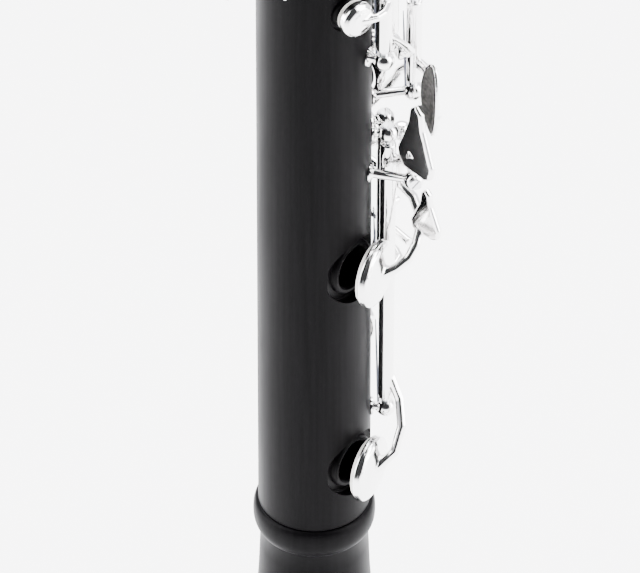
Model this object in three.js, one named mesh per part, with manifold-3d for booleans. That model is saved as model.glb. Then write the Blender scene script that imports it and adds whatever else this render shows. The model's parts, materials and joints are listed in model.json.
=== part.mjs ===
// A soprano clarinet in B flat with the Boehm system: 17 keys and 6 rings.
// Millimetres, +Z up. It stands on the rim of its bell, with the origin at the centre of the rim.
// The tone holes face -Y (the front), and the player's right-hand side is -X.
// A place on a joint is given by an angle from the front towards the player's right-hand side,
// by a radius from the bore's axis, and by a height.

import * as THREE from 'three';
import { mergeVertices } from 'three/addons/utils/BufferGeometryUtils.js';
import Module from 'manifold-3d';

const wasm = await Module();
wasm.setup();

// ---------------------------------------------------------------- driving dimensions

const CLEARANCE = 0.3;          // between two pieces that touch
const SWING_GAP = 0.6;          // beside a piece that turns

const BELL_LENGTH = 107;
const BELL_RIM_RADIUS = 39.5;
const BELL_NECK_RADIUS = 14.1;
const BELL_WALL = 2.4;
const BELL_RING_RADIUS = 15.9;  // the rounded ring round the bell's socket
const BELL_RING_HEIGHT = 7;

const LOWER_LENGTH = 222;       // lower joint between its shoulders
const LOWER_FOOT_RADIUS = 14.7;
const LOWER_HEAD_RADIUS = 13.9;
const UPPER_LENGTH = 198;
const UPPER_FOOT_RADIUS = 13.7;
const UPPER_HEAD_RADIUS = 13.1;
const BARREL_LENGTH = 66;
const BARREL_WAIST_RADIUS = 14.6;
const SOCKET_RING_RADIUS = 16.2; // thickened ends of the barrel and of the lower joint's socket
const MOUTHPIECE_LENGTH = 74;
const MOUTHPIECE_RADIUS = 13.4;

const BORE_RADIUS = 7.4;
const FOOT_BORE_RADIUS = 10.2;  // the bore opens out towards the bell
const TENON_RADIUS = 10.6;      // bare tenons of the upper joint and the mouthpiece
const BELL_TENON_RADIUS = 11.6;
const CORK_THICKNESS = 0.9;
const CORK_LIP = 2.5;           // bare tenon left at each end of a cork
const BELL_TENON_LENGTH = 21;
const MIDDLE_TENON_LENGTH = 22;
const BARREL_TENON_LENGTH = 17;
const MOUTHPIECE_TENON_LENGTH = 15;

const TUBE_RADIUS = 2.0;        // hinge tubes of the keys
const ROD_RADIUS = 1.1;         // steel rods inside them
const POST_RADIUS = 1.5;
const BALL_RADIUS = 2.7;
const ARM_RADIUS = 1.4;
const CUP_HEIGHT = 3.1;
const CUP_WALL = 0.6;
const PAD_DEPTH = 0.7;          // of the pad that sits inside its cup
const PAD_STANDOUT = 1.2;       // of the pad that stands out below its cup
const TOUCH_THICKNESS = 1.8;
const CROWN_HEIGHT = 1.5;       // the raised rim that a pad closes on
const CROWN_WALL = 1.5;
const CHIMNEY = 2;              // the raised rim of a finger hole

const BIG_CUP_RADIUS = 8.8;
const MIDDLE_CUP_RADIUS = 6.4;
const SMALL_CUP_RADIUS = 4.6;
const OPEN_ANGLE = 13;          // degrees that an open-standing key rests away from its hole
const RING_ANGLE = 5;           // degrees that a ring key rests above its finger holes

const FINE_SIDES = 20;          // facets round the joints
const BIG_SIDES = 12;           // round the big cups, pads and holes
const SMALL_SIDES = 8;         // round the small ones
const TUBE_SIDES = 8;
const THIN_SIDES = 6;           // round rods, arms and posts
const DEGREE = Math.PI / 180;

const LOWER_FOOT = BELL_LENGTH;
const UPPER_FOOT = LOWER_FOOT + LOWER_LENGTH;
const BARREL_FOOT = UPPER_FOOT + UPPER_LENGTH;
const MOUTHPIECE_FOOT = BARREL_FOOT + BARREL_LENGTH;

// ---------------------------------------------------------------- finishes

const finish = (color, roughness, metalness) => ({ color, roughness, metalness });
const BLACK_WOOD = finish(0x17161a, 0.42, 0);
const HARD_RUBBER = finish(0x0d0d0f, 0.2, 0);
const SILVER_PLATE = finish(0xd9dade, 0.22, 1);
const STEEL = finish(0xb4b6ba, 0.3, 1);
const PAD_SKIN = finish(0xe6e2da, 0.6, 0);
const CORK = finish(0xb98d5c, 0.85, 0);
const CANE = finish(0xd9c07a, 0.6, 0);

// ---------------------------------------------------------------- places and directions

const outward = (angle) => new THREE.Vector3(-Math.sin(angle * DEGREE), -Math.cos(angle * DEGREE), 0);
const sideways = (angle) => new THREE.Vector3(-Math.cos(angle * DEGREE), Math.sin(angle * DEGREE), 0);
const place = (angle, radius, height) => outward(angle).multiplyScalar(radius).setZ(height);
const UP = new THREE.Vector3(0, 0, 1);

const mix = (a, b, share) => a + (b - a) * share;
const lowerRadius = (height) =>
  mix(LOWER_FOOT_RADIUS, LOWER_HEAD_RADIUS, (height - LOWER_FOOT) / LOWER_LENGTH);
const upperRadius = (height) =>
  mix(UPPER_FOOT_RADIUS, UPPER_HEAD_RADIUS, (height - UPPER_FOOT) / UPPER_LENGTH);

// ---------------------------------------------------------------- solids from three.js shapes

function closedPositions(geometry) {
  const bare = geometry.index ? geometry.toNonIndexed() : geometry.clone();
  for (const name of Object.keys(bare.attributes)) {
    if (name !== 'position') bare.deleteAttribute(name);
  }
  return mergeVertices(bare, 1e-4);
}

function solid(geometry) {
  const closed = closedPositions(geometry);
  const points = closed.attributes.position.array;
  const corners = Array.from(closed.index.array);
  const kept = [];
  for (let i = 0; i < corners.length; i += 3) {
    const [a, b, c] = corners.slice(i, i + 3);
    if (a !== b && b !== c && c !== a) kept.push(a, b, c);
  }
  let volume = 0;
  const corner = (k) => new THREE.Vector3().fromArray(points, 3 * k);
  for (let i = 0; i < kept.length; i += 3) {
    volume += corner(kept[i]).dot(corner(kept[i + 1]).cross(corner(kept[i + 2])));
  }
  const facingOut = volume > 0 ? kept : kept.reverse();
  return new wasm.Manifold(new wasm.Mesh({
    numProp: 3,
    vertProperties: new Float32Array(points),
    triVerts: new Uint32Array(facingOut),
  }));
}

function geometryOf(manifold) {
  const mesh = manifold.getMesh();
  const geometry = new THREE.BufferGeometry();
  geometry.setAttribute('position', new THREE.BufferAttribute(new Float32Array(mesh.vertProperties), 3));
  geometry.setIndex(new THREE.BufferAttribute(new Uint32Array(mesh.triVerts), 1));
  geometry.computeVertexNormals();
  return geometry;
}

const joined = (solids) => solids.reduce((whole, piece) => whole.add(piece));

// a profile of [radius, height] points turned about the line through a base point
function turned(profile, base, direction, sides) {
  const outline = profile.map(([radius, height]) => new THREE.Vector2(radius, height));
  const geometry = new THREE.LatheGeometry(outline, sides);
  const turn = new THREE.Quaternion().setFromUnitVectors(new THREE.Vector3(0, 1, 0), direction);
  geometry.applyQuaternion(turn);
  geometry.translate(base.x, base.y, base.z);
  return solid(geometry);
}

function bar(start, end, radius, sides = THIN_SIDES) {
  const length = start.distanceTo(end);
  const direction = end.clone().sub(start).normalize();
  const geometry = new THREE.CylinderGeometry(radius, radius, length, sides);
  geometry.applyQuaternion(new THREE.Quaternion().setFromUnitVectors(new THREE.Vector3(0, 1, 0), direction));
  const middle = start.clone().add(end).multiplyScalar(0.5);
  geometry.translate(middle.x, middle.y, middle.z);
  return solid(geometry);
}

function ball(centre, radius) {
  const geometry = new THREE.SphereGeometry(radius, 7, 4);
  geometry.translate(centre.x, centre.y, centre.z);
  return solid(geometry);
}

function circle(radius, sides) {
  const shape = new THREE.Shape();
  for (let i = 0; i < sides; i += 1) {
    const angle = (2 * Math.PI * i) / sides;
    const [x, y] = [radius * Math.cos(angle), radius * Math.sin(angle)];
    if (i === 0) shape.moveTo(x, y);
    else shape.lineTo(x, y);
  }
  shape.closePath();
  return shape;
}

function arm(points, radius = ARM_RADIUS, steps = 4) {
  const extrudePath = new THREE.CatmullRomCurve3(points, false, 'centripetal');
  const section = circle(radius, THIN_SIDES);
  return solid(new THREE.ExtrudeGeometry(section, { steps, extrudePath, bevelEnabled: false }));
}

// a rounded plate: its length runs along `along`, and its face looks along `face`
function touch(centre, along, face, length, width, tip = 0.5) {
  const shape = new THREE.Shape();
  const [half, wide, narrow] = [length / 2, width / 2, (width / 2) * tip];
  shape.moveTo(-half, -wide * 0.6);
  shape.quadraticCurveTo(-half, -wide, -half + wide * 0.7, -wide);
  shape.lineTo(half - wide, -narrow * 1.1);
  shape.quadraticCurveTo(half, -narrow, half, 0);
  shape.quadraticCurveTo(half, narrow, half - wide, narrow * 1.1);
  shape.lineTo(-half + wide * 0.7, wide);
  shape.quadraticCurveTo(-half, wide, -half, wide * 0.6);
  shape.closePath();
  const geometry = new THREE.ExtrudeGeometry(shape, {
    depth: TOUCH_THICKNESS - 0.8,
    bevelThickness: 0.4,
    bevelSize: 0.4,
    bevelSegments: 1,
    curveSegments: 2,
  });
  geometry.translate(0, 0, 0.4 - TOUCH_THICKNESS / 2);
  const normal = face.clone().normalize();
  const across = normal.clone().cross(along).normalize();
  const forward = across.clone().cross(normal);
  geometry.applyMatrix4(new THREE.Matrix4().makeBasis(forward, across, normal));
  geometry.translate(centre.x, centre.y, centre.z);
  return solid(geometry);
}

// ---------------------------------------------------------------- tone holes, pads, posts

const sidesOf = (hole) => (hole.cup > MIDDLE_CUP_RADIUS ? BIG_SIDES : SMALL_SIDES);

// the height above the axis of the rim that a pad closes on
const crownRadius = (hole) => hole.body(hole.height) - hole.sink + CROWN_HEIGHT;

function toneHole(joint, hole) {
  const direction = outward(hole.angle);
  const surface = hole.body(hole.height);
  const floor = surface - hole.sink;
  const sides = sidesOf(hole);
  const at = (radius) => direction.clone().multiplyScalar(radius).setZ(hole.height);
  let cut = joint;
  if (hole.cup) {
    cut = cut.subtract(bar(at(floor), at(surface + 3), hole.cup + SWING_GAP, sides));
    const crown = bar(at(floor - 1), at(crownRadius(hole)), hole.bore + CROWN_WALL, sides);
    cut = cut.add(crown);
  } else {
    cut = cut.add(bar(at(surface - 3), at(surface + hole.chimney), hole.bore + CROWN_WALL, sides));
  }
  const through = bar(at(1), at(surface + 5), hole.bore, sides);
  return cut.subtract(through);
}

const cupBase = (hole) => crownRadius(hole) + CLEARANCE + PAD_STANDOUT;

function cup(hole) {
  const base = place(hole.angle, cupBase(hole), hole.height);
  const inside = hole.cup - CUP_WALL;
  const ceiling = PAD_DEPTH + CLEARANCE;
  const profile = [
    [0, ceiling], [inside, ceiling], [inside, 0], [hole.cup, 0], [hole.cup, CUP_HEIGHT * 0.55],
    [hole.cup - 0.9, CUP_HEIGHT * 0.8], [hole.cup * 0.4, CUP_HEIGHT], [0, CUP_HEIGHT],
  ];
  return turned(profile, base, outward(hole.angle), sidesOf(hole));
}

function pad(hole) {
  const radius = hole.cup - CUP_WALL - CLEARANCE;
  const base = place(hole.angle, cupBase(hole) - PAD_STANDOUT, hole.height);
  const profile = [
    [0, 0], [radius - 0.4, 0], [radius, 0.4],
    [radius, PAD_STANDOUT + PAD_DEPTH], [0, PAD_STANDOUT + PAD_DEPTH],
  ];
  return turned(profile, base, outward(hole.angle), sidesOf(hole));
}

// a ball post that stands on a joint and reaches out to a rod
function post(body, angle, radius, height) {
  const top = place(angle, radius, height);
  const foot = place(angle, body(height) - 0.2 + CLEARANCE * 2, height);
  return bar(foot, top, POST_RADIUS).add(ball(top, BALL_RADIUS));
}

// two or more posts and the steel rod that runs through them, for keys that turn lengthwise
function rodOnPosts(body, angle, radius, heights) {
  const rod = bar(place(angle, radius, heights[0]), place(angle, radius, heights.at(-1)), ROD_RADIUS);
  return joined([rod, ...heights.map((height) => post(body, angle, radius, height))]);
}

// a cross rod on two posts, for keys that rock like a see-saw
function crossRod(body, left, right, radius, height) {
  const rod = bar(place(left, radius, height), place(right, radius, height), ROD_RADIUS);
  return joined([rod, post(body, left, radius, height), post(body, right, radius, height)]);
}

// the tube of a key: bored through, so that it turns on its rod
function tube(start, end, radius = TUBE_RADIUS) {
  const direction = end.clone().sub(start).normalize();
  const bore = bar(start.clone().sub(direction), end.clone().add(direction), ROD_RADIUS + CLEARANCE);
  return { shell: bar(start, end, radius, TUBE_SIDES), bore };
}

// tube and metalwork joined, then bored for the rod
function keySolid(start, end, metalwork, radius = TUBE_RADIUS) {
  const hinge = tube(start, end, radius);
  return joined([hinge.shell, ...metalwork]).subtract(hinge.bore);
}

// ---------------------------------------------------------------- the assembly

const clarinet = new THREE.Group();
clarinet.name = 'clarinet';

function addPiece(parent, name, piece, look) {
  const mesh = new THREE.Mesh(geometryOf(piece), new THREE.MeshStandardMaterial(look));
  mesh.name = name;
  mesh.position.copy(parent.position).negate();
  parent.add(mesh);
}

// a key turns about a line through `pivot`; `rest` is the angle at which it stands open
function addKey(name, pivot, axis, rest, metalwork, hole) {
  const hinge = new THREE.Group();
  hinge.position.copy(pivot);
  clarinet.add(hinge);
  const pieces = [[name, metalwork, SILVER_PLATE]];
  if (hole) pieces.push([name.replace('_key', '_pad'), pad(hole), PAD_SKIN]);
  for (const [pieceName, piece, look] of pieces) addPiece(hinge, pieceName, piece, look);
  hinge.quaternion.setFromAxisAngle(axis, rest * DEGREE);
}

const addStatic = (name, piece, look) => addPiece(clarinet, name, piece, look);

// ---------------------------------------------------------------- tone holes

const lowerHole = (angle, above, rest) =>
  ({ body: lowerRadius, angle, height: LOWER_FOOT + above, ...rest });
const upperHole = (angle, above, rest) =>
  ({ body: upperRadius, angle, height: UPPER_FOOT + above, ...rest });

const holes = {
  lowE: lowerHole(84, 19, { bore: 6, cup: BIG_CUP_RADIUS, sink: 3 }),
  lowFSharp: lowerHole(-8, 50, { bore: 5, cup: MIDDLE_CUP_RADIUS + 0.8, sink: 2 }),
  lowF: lowerHole(84, 84, { bore: 6, cup: BIG_CUP_RADIUS, sink: 3 }),
  aFlat: lowerHole(-18, 110, { bore: 4.4, cup: MIDDLE_CUP_RADIUS, sink: 1.7 }),
  thirdRight: lowerHole(0, 132, { bore: 4, chimney: CHIMNEY }),
  secondRight: lowerHole(0, 152.5, { bore: 4, chimney: CHIMNEY }),
  firstRight: lowerHole(0, 173, { bore: 3.8, chimney: CHIMNEY }),
  sliverB: lowerHole(98, 166, { bore: 3, cup: SMALL_CUP_RADIUS, sink: 1 }),
  lowerRing: lowerHole(6, 188, { bore: 3.2, cup: SMALL_CUP_RADIUS + 0.4, sink: 1.2 }),
  thirdLeft: upperHole(0, 33, { bore: 3.6, chimney: CHIMNEY }),
  secondLeft: upperHole(0, 57, { bore: 3.6, chimney: CHIMNEY }),
  firstLeft: upperHole(0, 88, { bore: 3.4, chimney: CHIMNEY }),
  thumb: upperHole(180, 92, { bore: 3.4, chimney: CHIMNEY }),
  cSharp: upperHole(-20, 44.5, { bore: 2.6, cup: SMALL_CUP_RADIUS, sink: 1 }),
  sliverE: upperHole(-84, 68, { bore: 2.4, cup: SMALL_CUP_RADIUS, sink: 1 }),
  upperRing: upperHole(8, 73, { bore: 2.6, cup: SMALL_CUP_RADIUS, sink: 1 }),
  thumbRing: upperHole(-156, 106, { bore: 2.6, cup: SMALL_CUP_RADIUS, sink: 1 }),
  throatG: upperHole(-70, 128, { bore: 2.6, cup: SMALL_CUP_RADIUS, sink: 1 }),
  throatA: upperHole(0, 148, { bore: 2.6, cup: SMALL_CUP_RADIUS, sink: 1 }),
  register: upperHole(180, 158, { bore: 2.9, cup: SMALL_CUP_RADIUS, sink: 1 }),
};
// the four side keys: where each lever runs, its finger end and its pad
const SIDE_KEYS = [
  { angle: 78, touchUp: 56, padAngle: 72, padUp: 98 },
  { angle: 90, touchUp: 38, padAngle: 83, padUp: 114 },
  { angle: 102, touchUp: 56, padAngle: 96, padUp: 130 },
  { angle: 114, touchUp: 38, padAngle: 116, padUp: 146 },
];
const SIDE_CUP_RADIUS = 4.2;
const sideHoles = SIDE_KEYS.map(({ padAngle, padUp }) =>
  upperHole(padAngle, padUp, { bore: 2.4, cup: SIDE_CUP_RADIUS, sink: 1 }));

const onLower = Object.values(holes).filter((hole) => hole.body === lowerRadius);
const onUpper = [...Object.values(holes).filter((hole) => hole.body === upperRadius), ...sideHoles];

// ---------------------------------------------------------------- bell, joints, barrel, mouthpiece

const bellSocketRadius = BELL_TENON_RADIUS + CORK_THICKNESS + CLEARANCE;
const bellSocketFloor = BELL_LENGTH - BELL_TENON_LENGTH - CLEARANCE;
const middleSocketRadius = TENON_RADIUS + CORK_THICKNESS + CLEARANCE;

// the flare of the bell, as shares of its length and of its opening from neck to rim
const BELL_FLARE = [
  [0, 1], [0.08, 0.86], [0.17, 0.65], [0.28, 0.43], [0.41, 0.25], [0.56, 0.12], [0.72, 0.04],
];

function bellSolid() {
  const flare = ([up, out]) => [mix(BELL_NECK_RADIUS, BELL_RIM_RADIUS, out), up * BELL_LENGTH];
  const outer = BELL_FLARE.map(flare);
  const ringFoot = BELL_LENGTH - BELL_RING_HEIGHT;
  const ringSide = [
    [BELL_NECK_RADIUS, ringFoot - 1], [BELL_RING_RADIUS - 1, ringFoot],
    [BELL_RING_RADIUS, ringFoot + 1.8], [BELL_RING_RADIUS, BELL_LENGTH - 2],
    [BELL_RING_RADIUS - 0.9, BELL_LENGTH],
  ];
  const inner = BELL_FLARE.map(([up, out]) => [
    Math.max(mix(BELL_NECK_RADIUS, BELL_RIM_RADIUS, out) - BELL_WALL, FOOT_BORE_RADIUS), up * BELL_LENGTH,
  ]).reverse();
  const profile = [
    ...outer, ...ringSide,
    [bellSocketRadius, BELL_LENGTH], [bellSocketRadius, bellSocketFloor],
    [FOOT_BORE_RADIUS, bellSocketFloor], ...inner, outer[0],
  ];
  return turned(profile, new THREE.Vector3(), UP, FINE_SIDES);
}

function lowerJointSolid() {
  const socketFloor = UPPER_FOOT - MIDDLE_TENON_LENGTH - CLEARANCE;
  const tenonFoot = LOWER_FOOT - BELL_TENON_LENGTH;
  const corkSeat = BELL_TENON_RADIUS - CLEARANCE;
  const shoulder = LOWER_FOOT + CLEARANCE;
  const socketRing = socketFloor - 3;
  const profile = [
    [FOOT_BORE_RADIUS, tenonFoot], [corkSeat, tenonFoot], [corkSeat, shoulder],
    [LOWER_FOOT_RADIUS, shoulder], [lowerRadius(socketRing), socketRing],
    [SOCKET_RING_RADIUS - 0.8, socketRing + 2.5], [SOCKET_RING_RADIUS, socketRing + 5],
    [SOCKET_RING_RADIUS, UPPER_FOOT - 1], [SOCKET_RING_RADIUS - 1, UPPER_FOOT],
    [middleSocketRadius, UPPER_FOOT], [middleSocketRadius, socketFloor],
    [BORE_RADIUS, socketFloor], [BORE_RADIUS, LOWER_FOOT + 60], [FOOT_BORE_RADIUS, tenonFoot],
  ];
  return onLower.reduce(toneHole, turned(profile, new THREE.Vector3(), UP, FINE_SIDES));
}

function upperJointSolid() {
  const seat = TENON_RADIUS - CLEARANCE;
  const shoulder = UPPER_FOOT + CLEARANCE;
  const profile = [
    [BORE_RADIUS, UPPER_FOOT - MIDDLE_TENON_LENGTH], [seat, UPPER_FOOT - MIDDLE_TENON_LENGTH],
    [seat, shoulder], [UPPER_FOOT_RADIUS, shoulder], [UPPER_HEAD_RADIUS, BARREL_FOOT - 4],
    [UPPER_HEAD_RADIUS + 1.2, BARREL_FOOT - 2], [UPPER_HEAD_RADIUS + 1.2, BARREL_FOOT - CLEARANCE],
    [seat, BARREL_FOOT - CLEARANCE], [seat, BARREL_FOOT + BARREL_TENON_LENGTH],
    [BORE_RADIUS, BARREL_FOOT + BARREL_TENON_LENGTH], [BORE_RADIUS, UPPER_FOOT - MIDDLE_TENON_LENGTH],
  ];
  return onUpper.reduce(toneHole, turned(profile, new THREE.Vector3(), UP, FINE_SIDES));
}

function barrelSolid() {
  const top = MOUTHPIECE_FOOT;
  const lowFloor = BARREL_FOOT + BARREL_TENON_LENGTH + CLEARANCE;
  const highFloor = top - MOUTHPIECE_TENON_LENGTH - CLEARANCE;
  const profile = [
    [middleSocketRadius, BARREL_FOOT], [SOCKET_RING_RADIUS - 1, BARREL_FOOT],
    [SOCKET_RING_RADIUS, BARREL_FOOT + 1.2], [SOCKET_RING_RADIUS, BARREL_FOOT + 8],
    [BARREL_WAIST_RADIUS + 0.5, BARREL_FOOT + 16], [BARREL_WAIST_RADIUS, mix(BARREL_FOOT, top, 0.5)],
    [BARREL_WAIST_RADIUS + 0.5, top - 15], [SOCKET_RING_RADIUS, top - 8],
    [SOCKET_RING_RADIUS, top - 1.2], [SOCKET_RING_RADIUS - 1, top],
    [middleSocketRadius, top], [middleSocketRadius, highFloor], [BORE_RADIUS, highFloor],
    [BORE_RADIUS, lowFloor], [middleSocketRadius, lowFloor], [middleSocketRadius, BARREL_FOOT],
  ];
  return turned(profile, new THREE.Vector3(), UP, FINE_SIDES);
}

function corkRing(bareRadius, from, to) {
  const [inner, outer] = [bareRadius, bareRadius + CORK_THICKNESS];
  const [low, high] = [from + CORK_LIP, to - CORK_LIP];
  const profile = [[inner, low], [outer, low], [outer, high], [inner, high], [inner, low]];
  return turned(profile, new THREE.Vector3(), UP, FINE_SIDES);
}

const REED_THICKNESS = 3;
const REED_WIDTH = 12.8;
const TABLE_DEPTH = 9.6;        // from the axis to the flat that the reed lies on
const TIP_OPENING = 1.1;
const BEAK_LENGTH = 36;

// a block between two corners
function block(low, high) {
  const size = high.clone().sub(low);
  const geometry = new THREE.BoxGeometry(size.x, size.y, size.z);
  const middle = low.clone().add(high).multiplyScalar(0.5);
  geometry.translate(middle.x, middle.y, middle.z);
  return solid(geometry);
}

// a plate with this side outline in [depth, height], as wide as `width` across the axis
function sidePlate(outline, width) {
  const shape = new THREE.Shape(outline.map(([depth, height]) => new THREE.Vector2(depth, height)));
  const geometry = new THREE.ExtrudeGeometry(shape, { depth: width, bevelEnabled: false });
  geometry.translate(0, 0, -width / 2);
  const turn = new THREE.Matrix4().makeBasis(
    new THREE.Vector3(0, 1, 0), new THREE.Vector3(0, 0, 1), new THREE.Vector3(1, 0, 0));
  geometry.applyMatrix4(turn);
  return solid(geometry);
}

function mouthpieceSolid() {
  const foot = MOUTHPIECE_FOOT;
  const tip = foot + MOUTHPIECE_LENGTH;
  const seat = TENON_RADIUS - CLEARANCE;
  const tenonFoot = foot - MOUTHPIECE_TENON_LENGTH;
  const profile = [
    [0, tenonFoot], [seat, tenonFoot], [seat, foot + CLEARANCE], [MOUTHPIECE_RADIUS, foot + CLEARANCE],
    [MOUTHPIECE_RADIUS + 0.4, foot + 3], [MOUTHPIECE_RADIUS - 0.2, foot + 8],
    [MOUTHPIECE_RADIUS - 1.6, foot + 40], [MOUTHPIECE_RADIUS - 3.6, tip - 8], [6.5, tip], [0, tip],
  ];
  const body = turned(profile, new THREE.Vector3(), UP, FINE_SIDES);
  const tipDepth = TABLE_DEPTH - TIP_OPENING;
  const beak = sidePlate([[-20, tip - BEAK_LENGTH], [-20, tip + 5], [tipDepth - 1, tip + 5],
    [tipDepth - 1.2, tip], [-MOUTHPIECE_RADIUS + 1.2, tip - BEAK_LENGTH]], 40);
  const facing = sidePlate([[TABLE_DEPTH, foot + 6], [20, foot + 6], [20, tip + 5],
    [tipDepth, tip + 5], [tipDepth, tip], [TABLE_DEPTH, tip - 20]], 40);
  const boreFoot = new THREE.Vector3(0, 0, tenonFoot - 1);
  const bore = bar(boreFoot, new THREE.Vector3(0, 0, tip - 32), BORE_RADIUS, 24);
  const chamber = sidePlate([[-4, tip - 38], [20, tip - 38], [20, tip - 4], [tipDepth - 0.6, tip - 4],
    [2, tip - 20]], 8.4);
  return [beak, facing, bore, chamber].reduce((whole, cut) => whole.subtract(cut), body);
}

function reedSolid() {
  const foot = MOUTHPIECE_FOOT + 7.5;
  const tip = MOUTHPIECE_FOOT + MOUTHPIECE_LENGTH;
  const flat = TABLE_DEPTH + CLEARANCE;
  return sidePlate([[flat, foot], [flat + REED_THICKNESS, foot + 1], [flat + REED_THICKNESS, tip - 34],
    [flat + 0.35, tip - 0.4], [flat, tip - 0.4]], REED_WIDTH);
}

const LIGATURE_INNER = 15;
const LIGATURE_FOOT = 14;       // above the foot of the mouthpiece
const LIGATURE_HEIGHT = 24;
const SCREW_RADIUS = 1.3;

const ligatureScrewHeights = [5, LIGATURE_HEIGHT - 5].map((up) => MOUTHPIECE_FOOT + LIGATURE_FOOT + up);
const SCREW_DEPTH = LIGATURE_INNER + 3.6;

function ligatureSolid() {
  const low = MOUTHPIECE_FOOT + LIGATURE_FOOT;
  const high = low + LIGATURE_HEIGHT;
  const outer = LIGATURE_INNER + 0.9;
  const profile = [[LIGATURE_INNER, low], [outer, low], [outer, high], [LIGATURE_INNER, high],
    [LIGATURE_INNER, low]];
  const band = turned(profile, new THREE.Vector3(), UP, FINE_SIDES);
  const lugs = ligatureScrewHeights.flatMap((height) => [-6, 2].map((x) => block(
    new THREE.Vector3(x, LIGATURE_INNER + 0.2, height - 3),
    new THREE.Vector3(x + 4, SCREW_DEPTH + 3, height + 3))));
  const holesForScrews = ligatureScrewHeights.map((height) => bar(
    new THREE.Vector3(-9, SCREW_DEPTH, height), new THREE.Vector3(9, SCREW_DEPTH, height),
    SCREW_RADIUS + CLEARANCE));
  return holesForScrews.reduce((whole, cut) => whole.subtract(cut), joined([band, ...lugs]));
}

function ligatureScrew(height) {
  const at = (x) => new THREE.Vector3(x, SCREW_DEPTH, height);
  return bar(at(-16), at(8), SCREW_RADIUS).add(bar(at(-16), at(-8), 3.4, 12));
}

addStatic('bell', bellSolid(), BLACK_WOOD);
addStatic('lower_joint', lowerJointSolid(), BLACK_WOOD);
addStatic('upper_joint', upperJointSolid(), BLACK_WOOD);
addStatic('barrel', barrelSolid(), BLACK_WOOD);
addStatic('mouthpiece', mouthpieceSolid(), HARD_RUBBER);
addStatic('reed', reedSolid(), CANE);
addStatic('ligature', ligatureSolid(), SILVER_PLATE);
addStatic('ligature_screw_lower', ligatureScrew(ligatureScrewHeights[0]), SILVER_PLATE);
addStatic('ligature_screw_upper', ligatureScrew(ligatureScrewHeights[1]), SILVER_PLATE);
addStatic('bell_tenon_cork', corkRing(BELL_TENON_RADIUS, LOWER_FOOT - BELL_TENON_LENGTH, LOWER_FOOT), CORK);
addStatic('middle_tenon_cork', corkRing(TENON_RADIUS, UPPER_FOOT - MIDDLE_TENON_LENGTH, UPPER_FOOT), CORK);
addStatic('barrel_tenon_cork',
  corkRing(TENON_RADIUS, BARREL_FOOT, BARREL_FOOT + BARREL_TENON_LENGTH), CORK);
addStatic('mouthpiece_tenon_cork',
  corkRing(TENON_RADIUS, MOUTHPIECE_FOOT - MOUTHPIECE_TENON_LENGTH, MOUTHPIECE_FOOT), CORK);

// ---------------------------------------------------------------- shared shapes of the keys

// a place beside a joint: its angle, how far it lies out from the wood at the joint's foot, and its height
const low = (angle, lift, above) => place(angle, LOWER_FOOT_RADIUS + lift, LOWER_FOOT + above);
const high = (angle, lift, above) => place(angle, UPPER_FOOT_RADIUS + lift, UPPER_FOOT + above);

// the stepped back of a cup, where its arm lands
const cupTop = (hole) => place(hole.angle, cupBase(hole) + CUP_HEIGHT - ARM_RADIUS * 0.6, hole.height);

const RING_THICKNESS = 1.6;
const RING_WALL = 1.5;
const ringFoot = (hole) => hole.body(hole.height) + hole.chimney - RING_THICKNESS;

// a finger ring round the chimney of a hole, level with it when the key is down
function ring(hole) {
  const inner = hole.bore + CROWN_WALL + SWING_GAP;
  const outer = inner + RING_WALL;
  const base = place(hole.angle, ringFoot(hole), hole.height);
  const profile = [[inner, 0], [outer, 0], [outer, RING_THICKNESS], [inner, RING_THICKNESS], [inner, 0]];
  return turned(profile, base, outward(hole.angle), sidesOf(hole));
}

// the point on the right or left edge of a ring where its arm lands
function ringEdge(hole, side) {
  const reach = hole.bore + CROWN_WALL + SWING_GAP + RING_WALL * 0.6;
  const base = place(hole.angle, ringFoot(hole) + RING_THICKNESS / 2, hole.height);
  return base.addScaledVector(sideways(hole.angle), side * reach);
}

// a cup with its pad made in one piece, for the small keys
function paddedCup(hole) {
  const base = place(hole.angle, cupBase(hole) - PAD_STANDOUT, hole.height);
  const inside = hole.cup - CUP_WALL - CLEARANCE;
  const profile = [[0, 0], [inside, 0], [inside, PAD_STANDOUT], [hole.cup, PAD_STANDOUT],
    [hole.cup, PAD_STANDOUT + CUP_HEIGHT * 0.6], [hole.cup * 0.5, PAD_STANDOUT + CUP_HEIGHT],
    [0, PAD_STANDOUT + CUP_HEIGHT]];
  return turned(profile, base, outward(hole.angle), sidesOf(hole));
}

// ---------------------------------------------------------------- lower joint: hinge lines

const END_ROOM = BALL_RADIUS + SWING_GAP;   // between the centre of a ball and the end of a tube

const LOW_E_LINE = { angle: 46, lift: 3.7, from: 31, to: 121 };
const LOW_F_LINE = { angle: 28, lift: 3.7, from: 64, to: 121 };
const A_FLAT_LINE = { angle: 33, lift: 10.3, from: 130, to: 161 };
const LOWER_RING_LINE = { angle: 46, lift: 3.9, from: 149, to: 193.5 };
const SLIVER_B_LINE = { angle: 66, lift: 3.5, from: 148, to: 180 };
const LEVER_LINES = [-38, -53, -68].map((angle) => ({ angle, lift: 4.1, from: 119, to: 190 }));

const lowPosts = (line) =>
  rodOnPosts(lowerRadius, line.angle, LOWER_FOOT_RADIUS + line.lift,
    [line.from, line.to].map((up) => LOWER_FOOT + up));

// a key whose tube runs lengthwise on the lower joint
function lowerKey(name, line, rest, metalwork, hole) {
  const start = low(line.angle, line.lift, line.from + END_ROOM);
  const end = low(line.angle, line.lift, line.to - END_ROOM);
  const pivot = start.clone().add(end).multiplyScalar(0.5);
  addKey(name, pivot, UP, rest, keySolid(start, end, metalwork), hole);
}

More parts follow.
